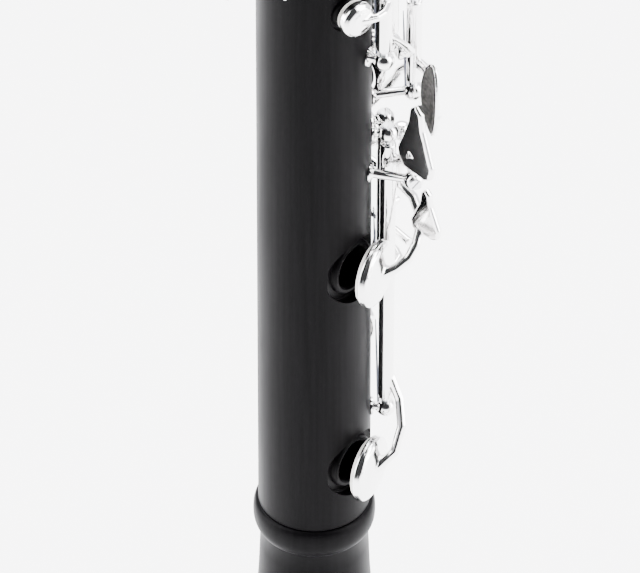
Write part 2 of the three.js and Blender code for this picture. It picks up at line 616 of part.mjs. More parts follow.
addStatic('low_e_hinge_rod', lowPosts(LOW_E_LINE), STEEL);
addStatic('low_f_hinge_rod', lowPosts(LOW_F_LINE), STEEL);
addStatic('a_flat_hinge_rod', lowPosts(A_FLAT_LINE), STEEL);
addStatic('lower_ring_hinge_rod', lowPosts(LOWER_RING_LINE), STEEL);
addStatic('sliver_b_hinge_rod', lowPosts(SLIVER_B_LINE), STEEL);

// the three lever lines stand side by side, and a short bridge ties their posts together at each end
const leverBridges = ['from', 'to'].flatMap((end) => LEVER_LINES.slice(1).map((line, index) => {
  const [here, beside] = [line, LEVER_LINES[index]].map(({ angle, lift }) => low(angle, lift, line[end]));
  return bar(here, beside, ROD_RADIUS);
}));
addStatic('lever_hinge_rods', joined([...LEVER_LINES.map(lowPosts), ...leverBridges]), STEEL);


// open-standing keys turn away from their holes, which is anticlockwise seen from above
lowerKey('low_e_key', LOW_E_LINE, OPEN_ANGLE, [
  cup(holes.lowE),
  arm([cupTop(holes.lowE), low(72, 6.9, 25), low(58, 7.3, 34), low(46, 4.7, 42)]),
  arm([low(46, 4.7, 112), low(60, 7.8, 116.5), low(72, 9.9, 122)]),
  touch(low(73, 11, 127), UP, outward(18), 20, 12, 0.35),
  arm([low(46, 4.7, 77), low(36, 8.1, 77), low(24, 8.7, 77)], 1.2, 4),
], holes.lowE);

lowerKey('low_f_key', LOW_F_LINE, OPEN_ANGLE, [
  cup(holes.lowF),
  arm([cupTop(holes.lowF), low(72, 7.3, 87), low(58, 10.1, 93), low(42, 8.9, 99), low(28, 4.7, 102)],
    ARM_RADIUS, 8),
  touch(low(61, 11.7, 99.5), UP, outward(10), 14, 8.6, 0.3),
  arm([low(28, 4.7, 93), low(27, 6.7, 93), low(26, 8.3, 93)], 1.2, 3),
], holes.lowF);

lowerKey('a_flat_key', A_FLAT_LINE, 0, [
  cup(holes.aFlat),
  arm([low(33, 9.7, 138), low(25, 8.5, 135), low(14, 7.3, 127), low(-4, 5.9, 117), cupTop(holes.aFlat)],
    ARM_RADIUS, 6),
  arm([low(33, 10.9, 139), low(46, 13.9, 139), low(58, 15.1, 139)]),
  touch(low(60, 15.3, 139), UP, outward(22), 17, 9, 0.35),
], holes.aFlat);

lowerKey('lower_ring_key', LOWER_RING_LINE, -RING_ANGLE, [
  ring(holes.thirdRight), ring(holes.secondRight), ring(holes.firstRight),
  arm([low(46, 3.9, 156), low(36, 3.7, 153), low(31, 3.1, 146), ringEdge(holes.thirdRight, 1)], 1.2, 5),
  arm([low(46, 3.9, 155.5), low(38, 3.5, 154), ringEdge(holes.secondRight, 1)], 1.2, 4),
  arm([low(46, 3.9, 173), low(38, 3.5, 173), ringEdge(holes.firstRight, 1)], 1.2, 4),
  cup(holes.lowerRing),
  arm([low(46, 4.5, 187), low(26, 5.3, 188), cupTop(holes.lowerRing)], ARM_RADIUS, 5),
  arm([low(46, 4.9, 186), low(59, 6.3, 192), low(60, 5.9, 206)], ARM_RADIUS, 5),
  arm([low(60, 5.9, 205), low(60, 5.9, LOWER_LENGTH + 2)], ARM_RADIUS, 1),
], holes.lowerRing);

lowerKey('sliver_b_key', SLIVER_B_LINE, 0, [
  paddedCup(holes.sliverB),
  arm([low(66, 4.5, 166), low(82, 5.5, 166), cupTop(holes.sliverB)], 1.2, 5),
  arm([low(66, 4.5, 156), low(57, 6.9, 152), low(50, 9.2, 147.5), low(38, 7.9, 143), low(27, 6.6, 142.2)],
    1, 6),
  touch(low(21, 6.6, 142.2), sideways(21).negate(), outward(21), 10, 4.4),
]);

// the low F sharp key rocks on a cross rod above the two long tubes
const F_SHARP_ROD = { left: 14, right: 60, lift: 10.9, above: 111 };
const fSharpRodEnds = [F_SHARP_ROD.left, F_SHARP_ROD.right].map((angle) =>
  low(angle, F_SHARP_ROD.lift, F_SHARP_ROD.above));
const alongFSharpRod = (share) => fSharpRodEnds[0].clone().lerp(fSharpRodEnds[1], share);
addStatic('f_sharp_cross_rod',
  crossRod(lowerRadius, F_SHARP_ROD.left, F_SHARP_ROD.right, LOWER_FOOT_RADIUS + F_SHARP_ROD.lift,
    LOWER_FOOT + F_SHARP_ROD.above),
  STEEL);
addKey('f_sharp_key', alongFSharpRod(0.5), sideways(37), 0, keySolid(
  alongFSharpRod(0.3), alongFSharpRod(0.66), [
    cup(holes.lowFSharp),
    arm([alongFSharpRod(0.36), low(20, 8.1, 100), low(10, 6.1, 83), low(0, 4.3, 63),
      cupTop(holes.lowFSharp)],
      ARM_RADIUS, 6),
    arm([alongFSharpRod(0.52), low(37, 11.3, 115), low(38, 12.3, 119)], ARM_RADIUS, 4),
    touch(low(38, 12.7, 120), UP, outward(38), 14, 9),
  ]), holes.lowFSharp);

// the three long levers for the left little finger
const LEVERS = [
  { name: 'lever_f_sharp', touchAt: [-46, 9.9, 208], knee: [-44, 9.7, 190],
    foot: [[-38, 4.9, 127], [-31, 9.1, 120], [-12, 10.1, 111], [-3, 10.1, 104]] },
  { name: 'lever_f', touchAt: [-68, 10.5, 204], knee: [-60, 9.1, 190],
    foot: [[-53, 4.9, 128], [-48, 10.1, 119], [-26, 11.3, 99], [0, 11.7, 93], [21, 11.5, 93]] },
  { name: 'lever_e', touchAt: [-90, 10.5, 198], knee: [-79, 8.9, 186],
    foot: [[-68, 4.9, 128], [-65, 10.1, 119], [-40, 11.5, 85], [-5, 11.7, 77], [22, 11.7, 77]] },
];
LEVERS.forEach(({ name, touchAt, knee, foot }, index) => {
  const line = LEVER_LINES[index];
  const [angle, lift, above] = touchAt;
  const start = low(line.angle, 4.7, 183 - 4 * index);
  lowerKey(`${name}_key`, line, 0, [
    arm([start, low(...knee), low(angle, lift, above - 4)], ARM_RADIUS, 4),
    touch(low(angle, lift, above), UP, outward(angle), 16, 6.6),
    arm(foot.map((point) => low(...point)), 1.2, 6),
  ]);
});

// ---------------------------------------------------------------- thumb rest

function thumbRest() {
  const back = lowerRadius(LOWER_FOOT + 184);
  const plate = block(new THREE.Vector3(-6.5, back + 0.5, LOWER_FOOT + 173),
    new THREE.Vector3(6.5, back + 2.1, LOWER_FOOT + 195));
  const shelf = block(new THREE.Vector3(-6, back + 1, LOWER_FOOT + 186),
    new THREE.Vector3(6, back + 21, LOWER_FOOT + 188.6));
  const lip = block(new THREE.Vector3(-6, back + 18.6, LOWER_FOOT + 182.5),
    new THREE.Vector3(6, back + 21, LOWER_FOOT + 188));
  return joined([plate, shelf, lip]);
}
addStatic('thumb_rest', thumbRest(), SILVER_PLATE);

// ---------------------------------------------------------------- upper joint: hinge lines and keys

const UPPER_RING_LINE = { angle: 48, lift: 4.1, posts: [14, 102] };
const LEFT_LINE = { angle: -48, lift: 4.1, posts: [8, 50, 86] };
const THUMB_LINE = { angle: -128, lift: 3.9, posts: [76, 120] };
const THROAT_G_LINE = { angle: -38, lift: 3.9, posts: [112, 138] };

// the foot of the upper ring key reaches down over the bridge lever of the lower ring key
const BRIDGE_LIFT = 10.7;
const onBridge = (above, rise) => place(60, LOWER_FOOT_RADIUS + BRIDGE_LIFT + rise, UPPER_FOOT + above);

const highPosts = (line) =>
  rodOnPosts(upperRadius, line.angle, UPPER_FOOT_RADIUS + line.lift,
    line.posts.map((up) => UPPER_FOOT + up));

// a key whose tube runs lengthwise on the upper joint, between two neighbouring posts
function upperKey(name, line, span, rest, metalwork, hole) {
  const start = high(line.angle, line.lift, line.posts[span] + END_ROOM);
  const end = high(line.angle, line.lift, line.posts[span + 1] - END_ROOM);
  const pivot = start.clone().add(end).multiplyScalar(0.5);
  addKey(name, pivot, UP, rest, keySolid(start, end, metalwork), hole);
}

addStatic('upper_ring_hinge_rod', highPosts(UPPER_RING_LINE), STEEL);
addStatic('left_hinge_rod', highPosts(LEFT_LINE), STEEL);
addStatic('thumb_hinge_rod', highPosts(THUMB_LINE), STEEL);
addStatic('throat_g_hinge_rod', highPosts(THROAT_G_LINE), STEEL);

upperKey('upper_ring_key', UPPER_RING_LINE, 0, -RING_ANGLE, [
  ring(holes.secondLeft), ring(holes.firstLeft), cup(holes.upperRing),
  arm([high(48, 4.1, 57), high(38, 3.7, 57), ringEdge(holes.secondLeft, 1)], 1.2, 4),
  arm([high(48, 4.1, 88), high(38, 3.7, 88), ringEdge(holes.firstLeft, 1)], 1.2, 4),
  arm([high(48, 4.9, 73), high(26, 5.7, 73), cupTop(holes.upperRing)], 1.2, 5),
  arm([high(48, 5.1, 20), high(54, 9.7, 12), onBridge(3, -0.2), onBridge(-2, 0)], ARM_RADIUS, 6),
], holes.upperRing);

upperKey('c_sharp_key', LEFT_LINE, 0, 0, [
  cup(holes.cSharp),
  arm([high(-48, 5.1, 40), high(-34, 5.9, 43), cupTop(holes.cSharp)], 1.2, 5),
  arm([high(-48, 5.1, 18), high(-60, 8.7, 14), high(-72, 10.7, 9)], 1.3, 5),
  touch(high(-76, 11.1, 6), UP, outward(-76), 14, 7),
], holes.cSharp);

upperKey('sliver_e_key', LEFT_LINE, 1, 0, [
  paddedCup(holes.sliverE),
  arm([high(-48, 5.1, 68), high(-68, 5.9, 68), cupTop(holes.sliverE)], 1.2, 5),
  arm([high(-48, 5.1, 72.5), high(-36, 5.9, 72.5), high(-28, 5.9, 72.5)], 1, 4),
  touch(high(-24, 5.7, 72.5), sideways(-24), outward(-24), 8, 4.2),
]);

upperKey('thumb_ring_key', THUMB_LINE, 0, -RING_ANGLE, [
  ring(holes.thumb), cup(holes.thumbRing),
  arm([high(-128, 4.1, 92), high(-142, 3.9, 92), ringEdge(holes.thumb, 1)], 1.2, 4),
  arm([high(-128, 4.9, 106), high(-142, 5.5, 106), cupTop(holes.thumbRing)], 1.2, 4),
], holes.thumbRing);

upperKey('throat_g_key', THROAT_G_LINE, 0, 0, [
  cup(holes.throatG),
  arm([high(-38, 4.9, 128), high(-54, 6.1, 128), cupTop(holes.throatG)], 1.2, 5),
  arm([high(-38, 4.9, 120), high(-30, 6.1, 120), high(-22, 6.3, 119)], 1.2, 4),
  touch(high(-20, 6.3, 118), UP, outward(-20), 13, 5.4),
], holes.throatG);

// a key that rocks on a short cross rod, with its finger end below and its pad above
function crossKey(name, hole, rodUp, touchUp, touchLength, touchWidth) {
  const { angle } = hole;
  const reach = 18;
  const radius = UPPER_FOOT_RADIUS + 5.3;
  const rodHeight = UPPER_FOOT + rodUp;
  const rod = crossRod(upperRadius, angle - reach, angle + reach, radius, rodHeight);
  addStatic(`${name}_cross_rod`, rod, STEEL);
  const centre = place(angle, radius * Math.cos(reach * DEGREE), rodHeight);
  const half = sideways(angle).multiplyScalar(2.4);
  addKey(`${name}_key`, centre, sideways(angle), 0, keySolid(
    centre.clone().sub(half), centre.clone().add(half), [
      cup(hole),
      arm([high(angle, 5.9, rodUp), high(angle, 6.7, rodUp + 7), cupTop(hole)], 1.3, 5),
      arm([high(angle, 5.9, rodUp), high(angle, 6.9, rodUp - 6), high(angle, 6.3, touchUp + 4)], 1.3, 5),
      touch(high(angle, 6.3, touchUp), UP, outward(angle), touchLength, touchWidth),
    ]), hole);
}
crossKey('throat_a', holes.throatA, 132, 115, 13, 6);
crossKey('register', holes.register, 139, 121, 15, 7.4);

// the four side keys share one cross rod
const SIDE_ROD = { left: 67, right: 125, radius: UPPER_FOOT_RADIUS + 7.3, above: 78 };
addStatic('side_cross_rod',
  crossRod(upperRadius, SIDE_ROD.left, SIDE_ROD.right, SIDE_ROD.radius, UPPER_FOOT + SIDE_ROD.above), STEEL);
const sideMiddle = (SIDE_ROD.left + SIDE_ROD.right) / 2;
const sideDepth = SIDE_ROD.radius * Math.cos((SIDE_ROD.right - sideMiddle) * DEGREE);
SIDE_KEYS.forEach(({ angle, touchUp, padAngle, padUp }, index) => {
  const hole = sideHoles[index];
  const depth = sideDepth / Math.cos((angle - sideMiddle) * DEGREE);
  const centre = place(angle, depth, UPPER_FOOT + SIDE_ROD.above);
  const half = sideways(sideMiddle).multiplyScalar(1.6);
  addKey(`side_key_${index + 1}`, centre, sideways(sideMiddle), 0, keySolid(
    centre.clone().sub(half), centre.clone().add(half), [
      paddedCup(hole),
      arm([high(angle, 6.5, 78), high(mix(angle, padAngle, 0.2), 6.9, 86),
        high(mix(angle, padAngle, 0.6), 6.7, padUp - 9), cupTop(hole)], 1.1, 5),
      arm([high(angle, 6.5, 78), high(angle, 7.3, 70), high(angle, 7.1, touchUp + 3)], 1.1, 5),
      touch(high(angle, 7.1, touchUp), UP, outward(angle), 14, 4.2, 0.8),
    ]));
});

// the metal tube that lines the register hole and stands into the bore
function registerTube() {
  const { bore, height, angle } = holes.register;
  const outer = bore - CLEARANCE;
  const profile = [[1.5, 0], [outer, 0], [outer, 10], [1.5, 10], [1.5, 0]];
  return turned(profile, place(angle, 3.4, height), outward(angle), 12);
}
addStatic('register_tube', registerTube(), STEEL);

export default clarinet;
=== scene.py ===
import json
import math

import bmesh
import bpy
import numpy as np
from mathutils import Matrix, Vector


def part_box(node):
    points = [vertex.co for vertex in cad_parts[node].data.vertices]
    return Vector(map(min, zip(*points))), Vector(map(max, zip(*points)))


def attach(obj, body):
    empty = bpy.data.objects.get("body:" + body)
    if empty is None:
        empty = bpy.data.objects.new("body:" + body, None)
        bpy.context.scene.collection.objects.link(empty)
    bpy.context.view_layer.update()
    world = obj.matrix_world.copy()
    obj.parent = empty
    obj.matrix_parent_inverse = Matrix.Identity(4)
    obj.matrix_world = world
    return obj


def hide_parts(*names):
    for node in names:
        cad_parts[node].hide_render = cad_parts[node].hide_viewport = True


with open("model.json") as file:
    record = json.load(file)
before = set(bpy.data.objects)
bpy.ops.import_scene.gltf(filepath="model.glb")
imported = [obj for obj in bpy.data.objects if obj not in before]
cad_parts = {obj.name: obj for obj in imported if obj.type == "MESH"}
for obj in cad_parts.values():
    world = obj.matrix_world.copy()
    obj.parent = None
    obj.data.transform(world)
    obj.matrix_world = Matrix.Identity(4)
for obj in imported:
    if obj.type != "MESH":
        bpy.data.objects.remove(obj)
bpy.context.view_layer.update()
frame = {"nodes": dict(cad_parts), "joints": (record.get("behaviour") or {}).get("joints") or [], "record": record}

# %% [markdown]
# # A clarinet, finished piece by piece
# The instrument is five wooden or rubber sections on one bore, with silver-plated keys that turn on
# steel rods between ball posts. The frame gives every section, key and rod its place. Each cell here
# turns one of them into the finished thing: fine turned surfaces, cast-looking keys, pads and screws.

MM = 0.001
UP = Vector((0, 0, 1))

# %% [markdown]
# ## Camera, floor and light
# A long lens keeps the tube's sides parallel, as in a catalogue view of one detail. The camera
# looks down at the lower joint from behind the player's right-hand side. Large soft lights stand at
# both sides, because a dark round tube shows itself by the pale bands that run along its edges.

# %% Camera
VIEW_AZIMUTH, VIEW_TILT = math.radians(225), math.radians(40)
VIEW_DISTANCE = 1.3
WIDTH_SEEN = 0.16203             # metres across the frame at the tube
SENSOR = 36.0
AIM_HEIGHT, AIM_SIDE = 0.178, 0.0015

toward_camera = Vector((
    math.sin(VIEW_AZIMUTH) * math.cos(VIEW_TILT),
    -math.cos(VIEW_AZIMUTH) * math.cos(VIEW_TILT),
    math.sin(VIEW_TILT),
))
camera_right = Vector((math.cos(VIEW_AZIMUTH), math.sin(VIEW_AZIMUTH), 0))
aim = UP * AIM_HEIGHT + camera_right * AIM_SIDE
camera = bpy.data.objects.new("camera", bpy.data.cameras.new("camera"))
bpy.context.scene.collection.objects.link(camera)
camera.location = aim + toward_camera * VIEW_DISTANCE
camera.rotation_euler = (-toward_camera).to_track_quat("-Z", "Y").to_euler()
camera.data.sensor_width = SENSOR
camera.data.lens = SENSOR * VIEW_DISTANCE / WIDTH_SEEN
bpy.context.scene.camera = camera
print("lens", round(camera.data.lens), "mm")

# %% [markdown]
# ## Floor
# The floor is only a backdrop.

# %% Floor
bpy.ops.mesh.primitive_plane_add(size=14, location=(0, 0, -0.0002))
floor = bpy.context.object
floor.name = "floor"
print("floor", round(floor.dimensions.x), "metres wide")

# %% [markdown]
# ## Lights
# Each lamp is a rectangle, like a softbox. A long highlight on a round tube is a reflection of such a
# box, so its height sets how long the bright band on the wood is. The lights are placed with the
# camera's own directions, because the band's place depends on where the camera stands.

# %% Lights
def soft_light(name, across, depth, height, width, tall, power, target_height=0.2):
    """A rectangle of light. across is to the camera's right, depth is towards the camera."""
    light = bpy.data.objects.new(name, bpy.data.lights.new(name, "AREA"))
    light.data.shape, light.data.size, light.data.size_y = "RECTANGLE", width, tall
    light.data.energy = power
    level = Vector((toward_camera.x, toward_camera.y, 0)).normalized()
    light.location = camera_right * across + level * depth + UP * height
    aim_line = light.location - UP * target_height
    light.rotation_euler = aim_line.to_track_quat("Z", "Y").to_euler()
    bpy.context.scene.collection.objects.link(light)


soft_light("left_panel", -1.1, 0.15, 0.75, 0.9, 1.5, 60)
soft_light("right_panel", 1.1, 0.25, 0.75, 0.9, 1.5, 64)
soft_light("top_panel", 0, -0.9, 2.0, 2.4, 1.6, 230)
print("lights", len(bpy.data.lights))
world = bpy.data.worlds.new("white_room")
world.use_nodes = True
bpy.context.scene.world = world

# %% [markdown]
# ## The room
# Polished silver shows whatever surrounds it. In a room that is white all round it would vanish
# against the backdrop, so the side behind the camera fades to dark and gives the keys their edges.

# %% A white room with a darker side behind the camera
def darker_behind_camera(world, bright, dark):
    nodes, links = world.node_tree.nodes, world.node_tree.links
    background = nodes["Background"]
    background.inputs["Color"].default_value = (0.95, 0.95, 1.0, 1)
    direction = nodes.new("ShaderNodeTexCoord")
    facing = nodes.new("ShaderNodeVectorMath")
    facing.operation = "DOT_PRODUCT"
    facing.inputs[1].default_value = toward_camera
    fade = nodes.new("ShaderNodeMapRange")
    fade.inputs["From Min"].default_value, fade.inputs["From Max"].default_value = 0.1, 0.75
    fade.inputs["To Min"].default_value, fade.inputs["To Max"].default_value = bright, dark
    links.new(direction.outputs["Generated"], facing.inputs[0])
    links.new(facing.outputs["Value"], fade.inputs["Value"])
    links.new(fade.outputs["Result"], background.inputs["Strength"])


darker_behind_camera(world, 2.9, 0.06)
print("room", len(world.node_tree.nodes), "nodes")

# %% [markdown]
# ## Finishes
# Every finish is a node tree on Object coordinates, so a pattern stays on its piece. Grain in the
# blackwood runs along the tube: one coordinate is squeezed, which draws noise out into long pores.
# Silver plate is polished by hand, so it has faint waves and small differences in gloss.

# %% A small helper for node trees
def new_finish(name, color, roughness, metallic=0.0, **sockets):
    material = bpy.data.materials.new(name)
    material.use_nodes = True
    shader = material.node_tree.nodes["Principled BSDF"]
    shader.inputs["Base Color"].default_value = (*color, 1)
    shader.inputs["Roughness"].default_value = roughness
    shader.inputs["Metallic"].default_value = metallic
    for socket, value in sockets.items():
        shader.inputs[socket.replace("_", " ")].default_value = value
    return material, shader


def noise_on_object(material, stretch, scale, detail=4.0):
    """Noise on Object coordinates, squeezed or drawn out by `stretch`."""
    nodes, links = material.node_tree.nodes, material.node_tree.links
    place = nodes.new("ShaderNodeTexCoord")
    mapping = nodes.new("ShaderNodeMapping")
    mapping.inputs["Scale"].default_value = stretch
    noise = nodes.new("ShaderNodeTexNoise")
    noise.inputs["Scale"].default_value = scale
    noise.inputs["Detail"].default_value = detail
    links.new(place.outputs["Object"], mapping.inputs["Vector"])
    links.new(mapping.outputs["Vector"], noise.inputs["Vector"])
    return noise.outputs["Fac"]


def ramp(material, source, low, high, start=0.35, end=0.65):
    """Turns a value into a range of greys or of colours."""
    node = material.node_tree.nodes.new("ShaderNodeValToRGB")
    node.color_ramp.elements[0].position, node.color_ramp.elements[1].position = start, end
    for element, tone in zip(node.color_ramp.elements, (low, high)):
        element.color = (*tone, 1) if hasattr(tone, "__len__") else (tone, tone, tone, 1)
    material.node_tree.links.new(source, node.inputs["Fac"])
    return node.outputs["Color"]


def bump(material, shader, source, strength, distance, before=None):
    node = material.node_tree.nodes.new("ShaderNodeBump")
    node.inputs["Strength"].default_value = strength
    node.inputs["Distance"].default_value = distance
    material.node_tree.links.new(source, node.inputs["Height"])
    if before is not None:
        material.node_tree.links.new(before, node.inputs["Normal"])
    material.node_tree.links.new(node.outputs["Normal"], shader.inputs["Normal"])
    return node.outputs["Normal"]


# %% [markdown]
# ## Blackwood
# Real blackwood is dense and nearly black, with fine pores along the grain. Noise that is squeezed
# along the tube gives the grain, a finer one gives the pores, and a broad one varies the gloss.

# %% Blackwood
def blackwood_finish():
    material, shader = new_finish("blackwood", (0.012, 0.011, 0.013), 0.4, Specular_IOR_Level=0.03,
                                   Sheen_Weight=0.02, Sheen_Roughness=0.3)
    shader.inputs["Sheen Tint"].default_value = (0.9, 0.84, 1, 1)
    links = material.node_tree.links
    grain = noise_on_object(material, (1, 1, 0.03), 900, 5)
    pores = noise_on_object(material, (1, 1, 0.06), 3200, 2)
    cloud = noise_on_object(material, (1, 1, 0.25), 90, 3)
    color = ramp(material, grain, (0.0006, 0.0005, 0.0007), (0.0018, 0.0016, 0.002))
    links.new(color, shader.inputs["Base Color"])
    links.new(ramp(material, cloud, 0.36, 0.46), shader.inputs["Roughness"])
    first = bump(material, shader, grain, 0.12, 0.00008)
    bump(material, shader, ramp(material, pores, 0, 1, 0.62, 0.7), 0.1, 0.00006, first)
    return material


BLACKWOOD = blackwood_finish()
print(BLACKWOOD.name, len(BLACKWOOD.node_tree.nodes), "nodes")


# %% [markdown]
# ## Silver plate and steel
# Metals differ mainly in colour, gloss and how wavy the polish left them, so one function makes all
# three. Plate is brightest and smoothest, turned rods are duller, and springs are blued by heat.

# %% Silver plate and steel
def metal_finish(name, color, gloss, wave):
    material, shader = new_finish(name, color, gloss, 1.0)
    links = material.node_tree.links
    smear = noise_on_object(material, (1, 1, 1), 160, 4)
    ripple = noise_on_object(material, (1, 1, 1), 420, 2)
    links.new(ramp(material, smear, gloss * 0.75, gloss * 1.35, 0.3, 0.7), shader.inputs["Roughness"])
    bump(material, shader, ripple, wave, 0.0002)
    return material


SILVER = metal_finish("silver_plate_polished", (0.86, 0.85, 0.845), 0.11, 0.05)
STEEL = metal_finish("steel_turned", (0.72, 0.73, 0.75), 0.24, 0.03)
BLUED = metal_finish("blued_spring_steel", (0.1, 0.105, 0.13), 0.3, 0.02)
print("metals", SILVER.name, STEEL.name, BLUED.name)


# %% [markdown]
# ## Pad skin, cork, cane and rubber
# These are all a grain between a dark and a light tone with a little relief, so they share a function
# and differ in numbers. Cane's grain is drawn out along the reed.

# %% Pad skin, cork, cane, rubber
def soft_finish(name, dark, light, roughness, grain_scale, stretch, relief, **sockets):
    material, shader = new_finish(name, light, roughness, 0.0, **sockets)
    grain = noise_on_object(material, stretch, grain_scale, 6)
    color = ramp(material, grain, dark, light, 0.3, 0.7)
    material.node_tree.links.new(color, shader.inputs["Base Color"])
    bump(material, shader, grain, relief, 0.0003)
    return material


EVEN, ALONG = (1, 1, 1), (1, 1, 0.02)
PAD_SKIN = soft_finish("pad_skin", (0.62, 0.6, 0.56), (0.86, 0.84, 0.8), 0.55, 700, EVEN, 0.12)
CORK = soft_finish("cork", (0.25, 0.14, 0.07), (0.62, 0.42, 0.24), 0.85, 900, EVEN, 0.5)
# A near-black sheet for the undersides of the finger plates, which makes those sides dark.
DARK_UNDERSIDE = soft_finish("dark_cork", (0.02, 0.02, 0.02), (0.09, 0.085, 0.08), 0.9, 1100, EVEN, 0.6)
CANE = soft_finish("cane", (0.6, 0.45, 0.2), (0.83, 0.7, 0.4), 0.55, 1400, ALONG, 0.25)
RUBBER = soft_finish("hard_rubber", (0.006, 0.006, 0.006), (0.012, 0.012, 0.012), 0.14, 300, EVEN, 0.02)
FLOOR = new_finish("pale_floor", (0.985, 0.985, 0.99), 0.7)[0]
floor.data.materials.append(FLOOR)
print("finishes", len(bpy.data.materials))

# %% [markdown]
# ## Shapes that come off a lathe
# Most of a clarinet is turned. A profile of radius and height is spun round a line, with enough
# steps that no facet shows. The same function makes the sections, the pad cups, the finger rings
# and the cutters that open the tone holes.

# %% Spinning a profile
FINE, MEDIUM = 160, 64


def new_piece(name, vertices, faces, material):
    mesh = bpy.data.meshes.new(name)
    mesh.from_pydata([tuple(v) for v in vertices], [], faces)
    mesh.update()
    piece = bpy.data.objects.new(name, mesh)
    bpy.context.scene.collection.objects.link(piece)
    if material:
        mesh.materials.append(material)
    return piece


def spun(profile, base, direction, steps):
    """Vertices and faces of a profile [(radius, height), ...] in millimetres, spun round a line.
    The profile runs from axis to axis, or is a closed loop."""
    direction = Vector(direction).normalized()
    side = direction.orthogonal().normalized()
    across = direction.cross(side)
    closed = profile[0][0] > 1e-6
    rings, vertices = [], []
    for radius, height in profile:
        centre = Vector(base) + direction * height * MM
        if radius < 1e-6:
            rings.append([len(vertices)])
            vertices.append(centre)
            continue
        rings.append(range(len(vertices), len(vertices) + steps))
        for k in range(steps):
            turn = 2 * math.pi * k / steps
            vertices.append(centre + (side * math.cos(turn) + across * math.sin(turn)) * radius * MM)
    faces = []
    pairs = list(zip(rings, rings[1:])) + ([(rings[-1], rings[0])] if closed else [])
    for a, b in pairs:
        for k in range(steps):
            n = (k + 1) % steps
            corners = [a[k % len(a)], a[n % len(a)], b[n % len(b)], b[k % len(b)]]
            unique = list(dict.fromkeys(corners))
            if len(unique) > 2:
                faces.append(unique)
    return vertices, faces


def facing_out(piece):
    """Merges doubled points and turns every face outwards."""
    work = bmesh.new()
    work.from_mesh(piece.data)
    bmesh.ops.remove_doubles(work, verts=work.verts, dist=1e-7)
    bmesh.ops.recalc_face_normals(work, faces=work.faces)
    work.to_mesh(piece.data)
    work.free()
    return piece


def turned(name, profile, base, direction, material, steps=FINE):
    return facing_out(new_piece(name, *spun(profile, base, direction, steps), material))


def smooth_faces(piece, sharp=32):
    piece.data.shade_smooth()
    piece.data.set_sharp_from_angle(angle=math.radians(sharp))
    return piece


def joined(name, pieces):
    """Joins meshes that touch or overlap into one piece, and removes the separate ones."""
    work = bmesh.new()
    materials = []
    for piece in pieces:
        start = len(work.faces)
        work.from_mesh(piece.data)
        work.faces.ensure_lookup_table()
        material = piece.data.materials[0]
        if material not in materials:
            materials.append(material)
        for face in work.faces[start:]:
            face.material_index = materials.index(material)
    whole = bpy.data.objects.new(name, bpy.data.meshes.new(name))
    work.to_mesh(whole.data)
    work.free()
    for material in materials:
        whole.data.materials.append(material)
    bpy.context.scene.collection.objects.link(whole)
    for piece in pieces:
        bpy.data.objects.remove(piece)
    return whole


def applied(piece):
    """The piece with its modifiers made final."""
    graph = bpy.context.evaluated_depsgraph_get()
    final = bpy.data.meshes.new_from_object(piece.evaluated_get(graph), depsgraph=graph)
    piece.modifiers.clear()
    old, piece.data = piece.data, final
    bpy.data.meshes.remove(old)
    return piece


def combined(piece, cutters, operation):
    """A boolean with several solids that don't touch one another."""
    if not cutters:
        return piece
    tool = joined("tool", cutters)
    change = piece.modifiers.new("cut", "BOOLEAN")
    change.operation, change.object, change.solver = operation, tool, "MANIFOLD"
    applied(piece)
    bpy.data.objects.remove(tool)
    return piece


def finish_node(piece, node, body="joints"):
    """The piece stands for a node of the frame and rides where that node does."""
    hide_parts(*([node] if isinstance(node, str) else node))
    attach(piece, body)
    print(piece.name, len(piece.data.polygons), "faces")
    return piece


# %% [markdown]
# ## Where things are
# A place on the tube is an angle from the front towards the player's right-hand side, a radius and a
# height. The pads tell where their tone holes are: a pad is a thin disc, so the direction in which
# it is thinnest is the direction that it faces.

# %% Measuring the frame
def points_of(node):
    mesh = frame["nodes"][node].data
    flat = np.zeros(len(mesh.vertices) * 3)
    mesh.vertices.foreach_get("co", flat)
    return flat.reshape(-1, 3)


def angle_of(point):
    return math.degrees(math.atan2(-point[0], -point[1]))


JOINTS = {joint["child"]: joint for joint in frame["joints"]}
BODIES = frame["record"]["behaviour"]["bodies"]
KEYS = {body: members for body, members in BODIES.items() if body != "joints"}
PADS = {body: node for body, members in KEYS.items() for node in members if node.endswith("_pad")}
OPENINGS = {o["name"]: o["box_m"] for o in frame["record"]["physics"]["openings"]}
print(len(KEYS), "keys,", len(PADS), "with separate pads")

# %% [markdown]
# ## Tone holes
# A pad shows where its hole is once its key is turned to where it closes. The wood is sunk round
# each hole, and a thin crown is left standing for the pad to close on. Finger holes have a chimney.

# %% Finding the pads and the holes
OPEN_STANDING = ("low_e_key", "low_f_key", "lower_ring_key", "upper_ring_key", "thumb_ring_key")
PAD_GAP, CROWN_RISE, CROWN_WALL = 0.3, 1.5, 1.5
CHIMNEY_BORE, CHIMNEY_RISE = 3.7, 2.0
BORE_SHARE = 0.74                # of a pad's radius that its hole takes up


def flat_faces(node):
    """Flat faces that look towards the bore: (area, normal, corners), the widest first."""
    mesh = frame["nodes"][node].data
    mesh.calc_loop_triangles()
    planes = []
    for triangle in mesh.loop_triangles:
        corners = [mesh.vertices[i].co.copy() for i in triangle.vertices]
        normal = (corners[1] - corners[0]).cross(corners[2] - corners[0]).normalized()
        if abs(normal.z) > 0.3 or normal.dot(Vector((*corners[0].xy, 0)).normalized()) > -0.5:
            continue
        for plane in planes:
            if plane[1].dot(normal) > 0.9995 and abs((corners[0] - plane[2][0]).dot(normal)) < 0.08 * MM:
                plane[0] += triangle.area
                plane[2].extend(corners)
                break
        else:
            planes.append([triangle.area, normal, corners])
    return sorted(planes, key=lambda plane: -plane[0])


